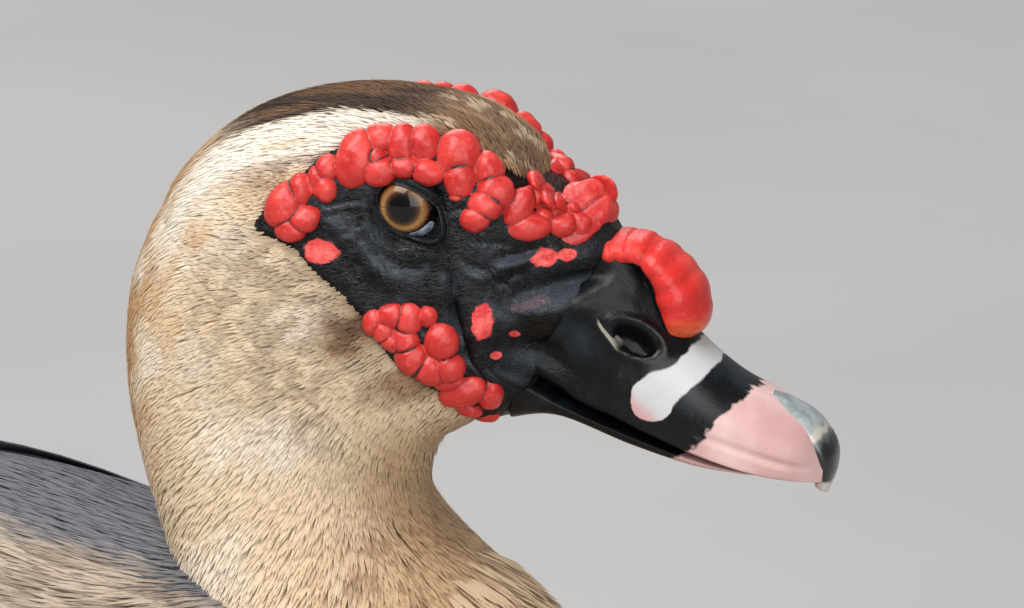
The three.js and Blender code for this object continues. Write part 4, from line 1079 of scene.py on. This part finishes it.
def marked_skin(piece):
    """The skin's own copy of the plumage's markings, so that no gap between feathers shows."""
    points = points_of(piece)
    face, far = np.array([form_tree.find_nearest(Vector(p))[2:] for p in in_frame(points)]).T
    nearest = (face + face // (ALONG - 1)).astype(int)  # the form's grid has one face fewer than points
    tones = head_colours(points, form_turn[nearest], form_station[nearest])
    tint(piece.data, "plumage",
         blend_to_body(tones, points, ease(6, 12, far / MM) + ease(-100, -112, points[:, 2])))


marked_skin(head)
marked_skin(skin)
tree = skin_tree(head, skin)
tuft = model_tuft()
fine_plumage = plumage_finish("fine_plumage", sheen=0.05, roughness=0.8, barbs=40.0, fringed=False,
                              root_shade=0.1)
HEAD_TUFTS, CROP_TUFTS, MANTLE_TUFTS = 58000, 17000, 14000
share_drawn = 1
TUFT_THICK = 0.09  # of its width
FIRST_CROP = 12  # the station from which a tuft counts as one of the breast or shoulders


def tuft_density(p, station, turn):
    face = inside_outline(BARE_FACE, p[:, 0], p[:, 2])
    return np.where(face < -0.2, 1, 0) * (1.9 - 1.3 * ease(5.5, 9, station))


def under_wing(p):
    """Above zero where the base of the folded wing covers the body."""
    x, y, z = p.T
    return np.minimum(np.minimum(14 - x, x + 168), np.minimum(-112 - z, z + 190)) * (np.abs(y) > 45)


def silky(p, station, turn):
    """Where the neck's soft plumage runs on over the breast and shoulders."""
    high = ease(-190, -130, p[:, 2] - 0.25 * np.minimum(p[:, 0] + 10, 0))
    return high * ease(-95, -60, p[:, 0]) * ease(9, 2, under_wing(p))


places, station, turn = scatter(HEAD, 0.6, 11.2, int(HEAD_TUFTS * share_drawn), tuft_density,
                                lambda s: -coat_depth(s))
found, _ = on_skin(tree, places)
clear = np.linalg.norm(found - places, axis=-1) < 5
places, station, turn = places[clear], station[clear], turn[clear]
crop, crop_station, crop_turn = scatter(TORSO, 0.02, 4.6, int(CROP_TUFTS * share_drawn), silky,
                                        lambda s: BODY_SKIN)
places = np.concatenate([places, crop])
station = np.concatenate([station, FIRST_CROP + crop_station * 0.01])
turn = np.concatenate([turn, crop_turn])
face = -inside_outline(BARE_FACE, places[:, 0], places[:, 2])
on_crop = station >= FIRST_CROP
long = 2.8 + 3.2 * ease(0, 9, face) + 4.2 * ease(6, 9.5, station) + 4 * on_crop
crest = ease(0.95, 0.7, np.abs(turn)) * ease(3.0, 4.2, station) * ease(6.0, 5.4, station)
long += 3.5 * crest
long *= random.uniform(0.8, 1.2, len(long))
wide = 0.66 + 0.66 * ease(6, 10, station) - 0.1 * ease(6, 0, face) + 0.8 * on_crop
wide *= random.uniform(0.75, 1.25, len(long)) / math.sqrt(share_drawn)
coat = coat_depth(station)
lift = (coat * random.uniform(0.86, 1.0, len(long))) * ease(-2, 3, face) + 0.35
lift += crest * random.uniform(0.0, 0.5, len(long))
lift *= 1 - 0.35 * ease(1.9, 2.6, np.abs(turn)) * ease(7.5, 9, station)
lift = np.where(on_crop, BODY_COAT * random.uniform(0.5, 0.6, len(lift)), lift)
points = lay_feathers(tree, tuft, places, long, wide, wide * TUFT_THICK, lift, sunk=0.4, sway=0.06)
tip = points[:, tuft[0][:, 0].argmax()] - points[:, tuft[0][:, 0].argmin()]
clear = np.linalg.norm(tip, axis=-1) < 1.35 * long + coat
colours = head_colours(places, turn, station)
colours = blend_to_body(colours, places, ease(-98, -116, places[:, 2]) + on_crop)
colours *= random.uniform(0.94, 1.06, (len(places), 1))
patch = np.stack([(turn / math.tau + 0.5) * 0.96 + 0.02,
                  station / 12 * 0.8 + (station % 1) * 3.6 * on_crop + 0.01], -1)
top = crest > 0.3
parts = [("crest_feathers", top)]
for name, low, high in (("cheek_feathers", 0, 5.6), ("nape_feathers", 5.6, 7.6),
                        ("neck_feathers", 7.6, FIRST_CROP), ("neck_base_feathers", FIRST_CROP, 99)):
    within = ~top & (station >= low) & (station < high)
    parts += [(name + "_right", within & (turn < 0)), (name + "_left", within & (turn >= 0))]
for name, part in parts:
    slot, node = ("neck_feathers", "neck") if name[:4] in ("neck", "nape") else ("head_feathers", "head")
    part = part & clear
    feather_piece(name, tuft, points[part], colours[part], colours[part], patch[part], (0.003, 0.003),
                  fine_plumage, [node], smooth=False)

# The mantle, between the neck and the wings: long silky feathers that hang over the shoulders and the fronts
# of the wings, slate along the middle of the back and fawn beside it. They are modelled as long tufts.
# WING_BED is the form that the folded wings and their feathers lie on, in rows like the torso's.
WING_BED = (np.array([(x, back, x, belly, half, 2.25) for x, back, belly, half in (
    (34, -110, -222, 70), (-8, -94, -240, 92), (-60, -80, -248, 103), (-115, -68, -248, 106),
    (-180, -71, -243, 105), (-240, -80, -226, 98), (-300, -90, -202, 81), (-350, -97, -179, 63),
    (-400, -102, -158, 45), (-440, -105, -146, 32))]), 0.46)
MANTLE_RISE, MANTLE_FALL = -1.0, 5.0  # its height over the wings, and how much lower it lies on the left
MANTLE_SINK = 5.2  # how much lower its hind end lies
mantle_station, mantle_turn = (
    v.ravel() for v in np.meshgrid(np.linspace(0, 4.5, 60), np.linspace(-1.4, 1.4, 90)))
mantle_faces = [(k, k + 60, k + 61, k + 1) for k in range(60 * 89) if k % 60 < 59]
mantle_tree = BVHTree.FromPolygons(
    [tuple(p) for p in surface(WING_BED, mantle_station, mantle_turn,
                               MANTLE_RISE - MANTLE_FALL * ease(0.1, 0.6, mantle_turn)
                               - MANTLE_SINK * ease(1.2, 3.6, mantle_station))], mantle_faces)


def mantle_density(p, station, turn):
    reach = ease(-112, -88, p[:, 0] + 12 * np.cos(3 * turn)) * ease(22, 8, p[:, 0])
    return reach * ease(0.98, 0.86, np.abs(turn))


places, station, turn = scatter(WING_BED, 0.1, 3.6, int(MANTLE_TUFTS * share_drawn), mantle_density,
                                lambda s: MANTLE_RISE)
long = random.uniform(17, 24, len(places))
wide = random.uniform(1.2, 1.9, len(places)) / math.sqrt(share_drawn)
points = lay_feathers(mantle_tree, tuft, places, long, wide, wide * TUFT_THICK,
                      random.uniform(1.2, 1.9, len(long)), sunk=1.2, sway=0.09)
broad, streak = noise_at(places, 16, 9), noise_at(places * (0.25, 1, 1), 2.4, 10)
middle = ease(-0.26, -0.14, turn + 0.1 * broad) * ease(0.8, 0.6, turn + 0.1 * broad)
colours = painted(len(places), (
    (np.ones(len(places)), (0.40, 0.325, 0.25)),
    (ease(-0.1, 0.4, broad + 0.5 * streak) * 0.6, CREAM),
    (ease(0.0, 0.35, streak - 0.5 * broad) * 0.6, (0.17, 0.125, 0.095)),
    (middle * 0.9, SLATE))) * random.uniform(0.95, 1.05, (len(places), 1))
patch = np.stack([turn / 3.2 + 0.5, station / 12 * 0.8 + 0.6], -1) * 0.96 + 0.01
for suffix, part in (("right", turn < 0), ("left", turn >= 0)):
    feather_piece(f"mantle_feathers_{suffix}", tuft, points[part], colours[part], colours[part], patch[part],
                  (0.003, 0.003), fine_plumage, ["torso"], smooth=False)

# The body's contour feathers: broad, arched vanes with a soft pale fringe, set like roof tiles from the
# crop to the tail root, small on the crop and thighs and largest on the flanks.
SPACING = 8.8  # between roots on the body, mm
contour = model_vane(6, 4, point=0.5, root=0.55, camber=0.25, thickness=0.12)
contour_plumage = plumage_finish("contour_plumage", sheen=0.15, roughness=0.75, barbs=90.0, fringed=True,
                                 root_shade=0.06, shaft_shade=0.12)


def feather_size(p):
    """Length of the contour feathers at places on the body."""
    x, y, z = p.T
    grown = 11 + 13 * ease(-84, -165, z) + 6 * ease(10, -120, x)
    on_thigh = ease(-258, -272, z) * ease(-95, -115, x)
    return np.where(on_thigh > 0.5, 14, grown)


def even_places(candidates, gaps):
    """The candidates that keep their gap from all that were taken before them."""
    taken, cells = [], {}
    size = gaps.max()
    for number, (p, gap) in enumerate(zip(candidates, gaps)):
        cell = tuple(np.floor(p / size).astype(int))
        near = [k for dx in (-1, 0, 1) for dy in (-1, 0, 1) for dz in (-1, 0, 1)
                for k in cells.get((cell[0] + dx, cell[1] + dy, cell[2] + dz), ())]
        if all(((candidates[k] - p) ** 2).sum() > gap * gap for k in near):
            cells.setdefault(cell, []).append(number)
            taken.append(number)
    return np.array(taken)


crop, crop_station, crop_turn = scatter(HEAD, 10.2, 12, 2600, lambda p, s, t: p[:, 2] < -82,
                                        lambda s: -coat_depth(s))
trunk, trunk_station, trunk_turn = scatter(TORSO, 0.05, 11.9, 16000, lambda p, s, t: 1,
                                           lambda s: BODY_SKIN)
thigh = random.uniform(-1, 1, (4200, 3))
thigh /= np.linalg.norm(thigh, axis=-1, keepdims=True)
thigh = thigh * (34, 30, 34) + (-142, 48, -246)
thigh[:, 1] *= random.choice((-1, 1), len(thigh))
thigh[:, 0] -= STRIDE * (thigh[:, 1] > 0)
thigh = thigh[thigh[:, 2] < -236]
places = np.concatenate([crop, trunk, thigh])
patch = np.concatenate([
    np.stack([crop_turn / math.tau + 0.5, crop_station / 120], -1),
    np.stack([trunk_turn / math.tau + 0.5, 0.1 + trunk_station / 12 * 0.8], -1),
    np.stack([thigh[:, 0] / 300 + 1.0, 0.95 + thigh[:, 2] / 8000], -1)]) * 0.96 + 0.02
found, normals = on_skin(tree, places)
off = np.linalg.norm(found - places, axis=-1)
near_neck = (found[:, 2] > -104) & (found[:, 0] > -64)
clear = (off < np.where(np.arange(len(places)) < len(crop) + len(trunk), 4.0, 40)) & ~near_neck
clear &= (under_wing(found) < 6) & (silky(found, 0, 0) < 0.85)
places, patch = found[clear], patch[clear]
long = feather_size(places)
kept = even_places(places, long / 30 * SPACING)
places, patch, long = places[kept], patch[kept], long[kept] * random.uniform(0.9, 1.1, len(kept))
lift = BODY_COAT * (0.2 + 0.3 * ease(10, 28, long)) * random.uniform(0.94, 1.06, len(long))
points = lay_feathers(tree, contour, places, long * 1.2, long * 0.88, long * 0.09, lift, sunk=0.8, sway=0.09)
colours = body_colours(places) * random.uniform(0.88, 1.08, (len(places), 1))
fringes = colours * 0.86 + np.array(FAWN) * 0.12
breast, back = places[:, 0] > -75, places[:, 2] > -150
for name, part in (("breast_feathers", breast), ("back_feathers", ~breast & back),
                   ("belly_feathers", ~breast & ~back)):
    feather_piece(name, contour, points[part], colours[part], fringes[part], patch[part], (0.012, 0.014),
                  contour_plumage, ["torso", "neck"])

# The folded wings. The fleshy forearm lies against the flank, and its feathers grow in tiers that cover
# each other like tiles: small coverts at the shoulder, then larger ones, and last the long flight feathers.
# A tier is its name, count, x and turn of the upper and the lower roots and then of their tips, bow of its
# edge, how deep it lies, slope, width, roll and colour.
TIERS = [
    ("lesser", 14, (18, 50), (4, 100), (-22, 48), (-30, 97), 22, -0.4, 0.07, 17, 2.2, SLATE),
    ("lesser", 15, (2, 47), (-8, 100), (-44, 46), (-52, 97), 22, 0.0, 0.07, 19, 2.4, SLATE),
    ("middle", 13, (-22, 46), (-22, 99), (-84, 45), (-86, 94), 20, 0.6, 0.078, 23, 3.0, SLATE),
    ("middle", 13, (-62, 46), (-62, 100), (-136, 44), (-136, 95), 14, 1.6, 0.075, 24, 3.0, SLATE),
    ("greater", 12, (-106, 46), (-106, 101), (-206, 43), (-192, 95), 6, 3.4, 0.06, 25, 3.2, SLATE),
    ("secondary", 12, (-150, 46), (-150, 96), (-342, 34), (-264, 88), 0, 4.4, 0.034, 27, 2.8, SLATE)]
PRIMARIES = ("primary", 7, (-160, 74), (-160, 92), (-356, 46), (-434, 61), 0, 5.0, 0.004, 19, 0.0, SLATE)
flight = model_vane(16, 6, point=0.86, root=0.7, camber=0.4, thickness=0.16, shaft=0.4)
covert = model_vane(10, 6, point=0.72, root=0.6, camber=0.4, thickness=0.16, shaft=0.25)
flight_plumage = plumage_finish("flight_plumage", sheen=0.05, roughness=0.52, barbs=220.0, fringed=True)


def station_at(form, x):
    fine = np.linspace(0, len(form[0]) - 1, 600)
    return np.interp(-x, -between(form[0], fine)[:, 0], fine)


def beside(form, x, turn, side, out):
    """Places side mm further round a form than a turn, and out mm above it."""
    station = station_at(form, x)
    ahead = surface(form, station, turn + 0.05) - surface(form, station, turn - 0.05)
    radius = np.linalg.norm(ahead, axis=-1) / 0.1
    return surface(form, station, turn + side / radius, out)


def tier_feathers(form, shape, tier, step=0.0):
    """One tier on the right side, each upper feather lying over the next lower one."""
    name, count, root_high, root_low, tip_high, tip_low, bow, sunk, slope, width, roll, _ = tier
    s, number = np.linspace(0, 1, count)[:, None], np.arange(count)[:, None]
    f, a, b = (shape[0][:, k][None] for k in range(3))
    root_x, root_turn = (root_high[k] + (root_low[k] - root_high[k]) * s for k in (0, 1))
    tip_x, tip_turn = (tip_high[k] + (tip_low[k] - tip_high[k]) * s for k in (0, 1))
    swung, grown = random.normal(size=(2, count, 1))
    x = root_x + (tip_x - root_x) * f * (1 + 0.05 * grown) + bow * (1 - (2 * s - 1) ** 2) + 1.5 * swung
    turn = -np.radians(root_turn + (tip_turn - root_turn) * f + 0.5 * swung * f)
    lift = slope * (root_high[0] - x) - sunk - step * number - a * roll / 2 + b * 2.3
    return beside(form, x, turn, a * width / 2, lift)


def wing_piece(name, shape, laid, tones, columns, rows, left, low, patch_size, nodes, fringe=(0.8, 0.12)):
    """Stiff feathers with pale fringes. Each has its own place on the piece's unwrap."""
    number = np.arange(len(laid))
    spots = np.stack([number % columns / columns + left, number // columns / rows + low], -1)
    fringes = tones * fringe[0] + np.array(FAWN) * fringe[1]
    if name.endswith("_left"):  # the right side's, mirrored
        shape, laid = (shape[0], shape[1][:, ::-1]), laid * (1, -1, 1)
    feather_piece(name, shape, laid, tones, fringes, spots, patch_size, flight_plumage,
                  nodes)


def tones_of(tiers, low, high):
    tones = np.concatenate([np.tile(np.array(tier[-1]), (tier[1], 1)) for tier in tiers])
    return tones * random.uniform(low, high, (len(tones), 1))


def limb_part(piece, side):
    """The forearm's skin: a sheet over the flank whose edges go down into the body."""
    a, b = (read(piece)[:, k] / 2 + 0.5 for k in (0, 1))
    turn = np.radians(36 + 69 * b)
    x = 24 - 34 * ((np.degrees(turn) - 72) / 33) ** 2
    x = x + (-172 - x) * a
    rim = np.clip(np.minimum(np.minimum(5 * a, 8 * (1 - a) + 0.4), np.minimum(5 * b, 5 * (1 - b))), 0, 1)
    low = surface(TORSO, station_at(TORSO, x), -turn, -6)
    high = surface(WING_BED, station_at(WING_BED, x), -turn, 0.6 - 4.8 * a)
    move(piece, (low + (high - low) * ease(0, 1, rim)[:, None]) * (1, -side, 1))


for suffix, side in SIDES:
    limb = add(bpy.ops.mesh.primitive_grid_add, f"wing_limb_{suffix}", x_subdivisions=48, y_subdivisions=28)
    limb_part(limb, side)
    apply_modifier(limb, "SOLIDIFY", thickness=1.2 * MM, offset=0)
    bpy.ops.object.shade_smooth()
    dress(limb, [f"wing_{suffix}"], skin.data.materials[0])
    for name, tiers, shape in (("coverts", TIERS[:-1], covert),
                               ("flight_feathers", [TIERS[-1], PRIMARIES], flight)):
        laid = [tier_feathers(WING_BED, shape, t, 1.7 if t is PRIMARIES else 0.0) for t in tiers]
        wing_piece(f"wing_{name}_{suffix}", shape, np.concatenate(laid), tones_of(tiers, 0.8, 1.2),
                   10, 8, 0.05, 0.06, (0.08, 0.11), [f"wing_{suffix}"])

# The shoulder feathers lie along the upper edge of the wing and over its tiers' upper ends.
SCAPULARS = [
    ("shoulder front", 8, (-8, 12), (6, 47), (-62, 10), (-50, 48), 0, 3.6, 0.05, 19, 1.4,
     (0.33, 0.265, 0.205)),
    ("shoulder front", 8, (-36, 10), (-24, 45), (-104, 9), (-94, 45), 0, 3.0, 0.055, 21, 1.4,
     (0.22, 0.19, 0.17)),
    ("shoulder", 7, (-78, 9), (-68, 42), (-156, 8), (-150, 42), 0, 2.0, 0.05, 23, 1.4, SLATE),
    ("shoulder", 7, (-122, 8), (-114, 38), (-222, 7), (-214, 35), 0, 1.6, 0.04, 25, 1.4, SLATE),
    ("shoulder", 7, (-168, 7), (-158, 38), (-290, 6), (-300, 36), 0, 1.2, 0.03, 27, 1.4, SLATE),
    ("shoulder", 6, (-222, 6), (-212, 34), (-350, 5), (-364, 40), 0, 0.8, 0.02, 25, 1.4, SLATE)]
for suffix, side in SIDES:
    laid = [tier_feathers(WING_BED, covert, t) for t in SCAPULARS]
    for feathers, tier in zip(laid, SCAPULARS):
        # the inner ones lie down on the back, more so towards the tail
        feathers[..., 2] -= MANTLE_FALL * (side > 0) + 3 * (tier[0] == "shoulder front")
        fall = 6 - 0.03 * np.minimum(feathers[..., 0] + 180, 0)
        feathers[..., 2] -= np.linspace(1, 0.1, tier[1])[:, None] * fall
    wing_piece(f"shoulder_feathers_{suffix}", covert, np.concatenate(laid), tones_of(SCAPULARS, 0.8, 1.25),
               6, 6, 0.08, 0.1, (0.12, 0.15), ["torso"])

# The tail: nine pairs of stiff quills in a shallow fan, the middle ones on top, with coverts over and
# under their roots.
TAIL_X, TAIL_Z, TAIL_LONG, TAIL_WIDE, TAIL_FAN = -366, -129, 152, 32, math.radians(3.0)
rectrix = model_vane(16, 6, point=0.90, root=0.55, camber=0.10, thickness=0.14, shaft=0.3)


def quill(order):
    side, step = (-1 if order % 2 else 1), order // 2 + 0.5
    f, a, b = rectrix[0].T
    turn, long = TAIL_FAN * step, TAIL_LONG - 2.2 * step
    off = a * TAIL_WIDE / 2
    x = TAIL_X - long * f * math.cos(turn) + side * off * math.sin(turn)
    y = side * (2.2 * step + long * f * math.sin(turn)) + off * math.cos(turn)
    return np.stack([x, y, TAIL_Z - 0.55 * order - 9 * f + 2.2 * b - side * a * 0.7], -1)


def tail_covert(number, count, up, row):
    f, a, b = covert[0].T
    s = 2 * number / (count - 1) - 1
    long = 64 - 10 * s * s - 14 * row
    lift = 9 - 1.1 * number % 2.2 - 3 * row if up else -26 + 2 * row
    z = TAIL_Z + lift - (5 if up else -11) * f - 6 * s * s * (1 if up else -1) + 2.2 * b * (1 if up else -1)
    x = TAIL_X + 8 + 14 * row - long * f + 6 * random.normal() * 0.2
    return np.stack([x, s * (17 + 9 * f) + a * 9.5, z + 0.6 * a * (number % 2 - 0.5)], -1)


quills = np.stack([quill(order) for order in range(18)])
coverts = np.stack([tail_covert(k, 9, up, row) for up in (True, False) for row in (0, 1) for k in range(9)])
for name, shape, laid in (("tail_quills", rectrix, quills), ("tail_coverts", covert, coverts)):
    tones = np.array(SLATE) * random.uniform(0.75, 1.1, (len(laid), 1))
    wing_piece(name, shape, laid, tones, 6, 6, 0.08, 0.08, (0.12, 0.14), ["tail"], (0.75, 0.15))

# The legs: a shank and toes covered in small plates, with webs between the front toes and hooked claws.
HIP, HOCK, ANKLE, FLOOR = (-128, 48, -214), (-160, 48, -276), (-136, 48, -330), -345
TOES = [(62, 20), (82, -2), (78, -25)]  # length, and turn away from the middle
HIND_TURN = math.radians(150)
TOE_ROOT, TOE_RISE = 5.0, 3.2
WEB_SCALLOP, WEB_THICK = 0.16, 1.5


def tube(name, line, segments, rings, bumps=0.0, plates=0.0):
    """A ringed tube along a line of [x, y, z, radius], with plates across its front or top."""
    line = np.array(line, float)

    def place(share, turn):
        at = between(line, share * (len(line) - 1))
        ahead, behind = (between(line, share * (len(line) - 1) + near) for near in (0.02, -0.02))
        ahead = unit((ahead - behind)[:, :3])
        across = unit(np.cross((0, 0, 1), ahead))
        over = np.cross(ahead, across)
        top = ease(-0.2, 0.6, np.sin(turn))
        radius = at[:, 3] + bumps * top * np.abs(np.sin(share * plates)) ** 0.5
        wide, high = (radius * np.cos(turn))[:, None], (radius * np.sin(turn))[:, None]
        return at[:, :3] + across * wide + over * high

    return ringed(name, segments, rings, place)


leg_skin, shader, place = finish_of("leg_skin", Coat_Weight=0.15, Coat_Roughness=0.3)
scales = place.node("ShaderNodeTexVoronoi", {"feature": "DISTANCE_TO_EDGE"},
                    {"Vector": place, "Scale": 420.0})
broad = cloud(place, 60.0, 4.0)
skin_tone = broad.step(0.4, 0.62).mix((0.035, 0.034, 0.032), (0.19, 0.15, 0.075))
skin_tone = (1 - scales.step(0.0, 0.14)).mix(skin_tone, (0.02, 0.018, 0.015))
connect(shader, Base_Color=skin_tone, Roughness=broad * 0.3 + 0.35,
        Normal=relief_of(scales.step(0.0, 0.25), 0.7, 0.0005))
claw_horn, shader, place = finish_of("claw_horn", Coat_Weight=0.3, Coat_Roughness=0.15)
grain = cloud(place, 300.0, 4.0)
connect(shader, Base_Color=grain.step(0.35, 0.65).mix((0.012, 0.011, 0.010), (0.06, 0.05, 0.04)),
        Roughness=grain * 0.2 + 0.25, Normal=relief_of(grain, 0.2, 0.0003))


def bent(start, *knots):
    """The line of a tube: how far each knot lies from its start, and the radius there."""
    return [(*(start + np.array(off)), radius) for off, radius in knots]


for suffix, side in SIDES:
    back = STRIDE * (side > 0)
    hip, hock, ankle = (np.array((x - back, side * y, z), float) for x, y, z in (HIP, HOCK, ANKLE))
    toe_root = ankle + (4, 0, FLOOR + TOE_RISE - ankle[2])
    ways = [np.array((math.cos(math.radians(t)), side * math.sin(math.radians(t)), 0)) for _, t in TOES]
    thigh_end, fallen = (hock - hip) * 0.82, ankle - hock
    shank = tube("shank", bent(hip, (thigh_end, 8.5)) + bent(
        hock, (0, 7.6), (fallen * 0.3, 5.6), (fallen * 0.7, 5.2), (fallen, 6.4), (fallen + (3, 0, -6), 6.6)),
        32, 90, 0.5, 62)
    pieces = [tube("heel", bent(ankle, ((-2, 0, 1), 6.4), ((2, 0, -6), 6.8), ((8, 0, -10.6), 4.4)), 24, 20)]
    for (length, _), way in zip(TOES, ways):
        joints = [(0, TOE_ROOT), (0.3, 3.7), (0.36, 4.4), (0.44, 3.6), (0.64, 3.4), (0.7, 4.0), (0.78, 3.1),
                  (0.93, 3.2), (1, 2.6)]
        line = bent(toe_root, *((way * length * f + (0, 0, radius - TOE_RISE + 0.2), radius)
                                for f, radius in joints))
        pieces.append(tube("toe", line, 20, 90, 0.35, 75))
    hind = np.array((math.cos(HIND_TURN), side * math.sin(HIND_TURN), 0))
    pieces.append(tube("hind_toe", bent(ankle, (hind * 2 + (0, 0, -6), 3.4), (hind * 10 + (0, 0, -9.5), 3.0),
                                        (hind * 17 + (0, 0, -11.6), 2.4)), 16, 24, 0.2, 24))
    for (long_a, _), way_a, (long_b, _), way_b in zip(TOES, ways, TOES[1:], ways[1:]):
        web = add(bpy.ops.mesh.primitive_grid_add, x_subdivisions=24, y_subdivisions=20)
        a, b = (read(web)[:, k, None] / 2 + 0.5 for k in (0, 1))
        reach = 0.05 + a * (0.9 - WEB_SCALLOP * np.sin(math.pi * b))
        flat = toe_root + reach * ((1 - b) * way_a * long_a + b * way_b * long_b)
        folds = 0.35 * np.sin(b * 17) * a + 0.6 * (1 - a)
        flat[:, 2:] = FLOOR + WEB_THICK + np.maximum(folds, 0)
        move(web, flat)
        apply_modifier(web, "SOLIDIFY", thickness=WEB_THICK * MM, offset=0)
        pieces.append(web)
    foot = joined(f"foot_{suffix}_flesh", pieces)
    run_together(foot, voxel=0.85, iterations=2)
    sole = points_of(foot)
    sole[:, 2] = np.maximum(sole[:, 2] - np.clip(sole[:, 2].min() - FLOOR, 0, 1), FLOOR)
    move(foot, sole)
    shank.name = shank.data.name = f"shank_{suffix}_flesh"
    claws = []
    for (length, _), way in zip(TOES, ways):
        claws.append(tube("claw", bent(toe_root + way * length, (way * -3 + (0, 0, 0.2), 2.5),
                                       (way * 3 + (0, 0, 0.6), 2.3), (way * 7.5 + (0, 0, -0.4), 1.5),
                                       (way * 10.5 + (0, 0, -2.0), 0.5)), 16, 20))
    claws.append(tube("claw", bent(ankle, (hind * 16 + (0, 0, -11.4), 1.9), (hind * 20 + (0, 0, -12.2), 1.5),
                                   (hind * 23 + (0, 0, -13.6), 0.5)), 12, 14))
    claws = joined(f"claws_{suffix}", claws)
    dress(foot, [f"foot_{suffix}"], leg_skin)
    dress(shank, [f"shank_{suffix}"], leg_skin)
    dress(claws, [f"foot_{suffix}"], claw_horn)
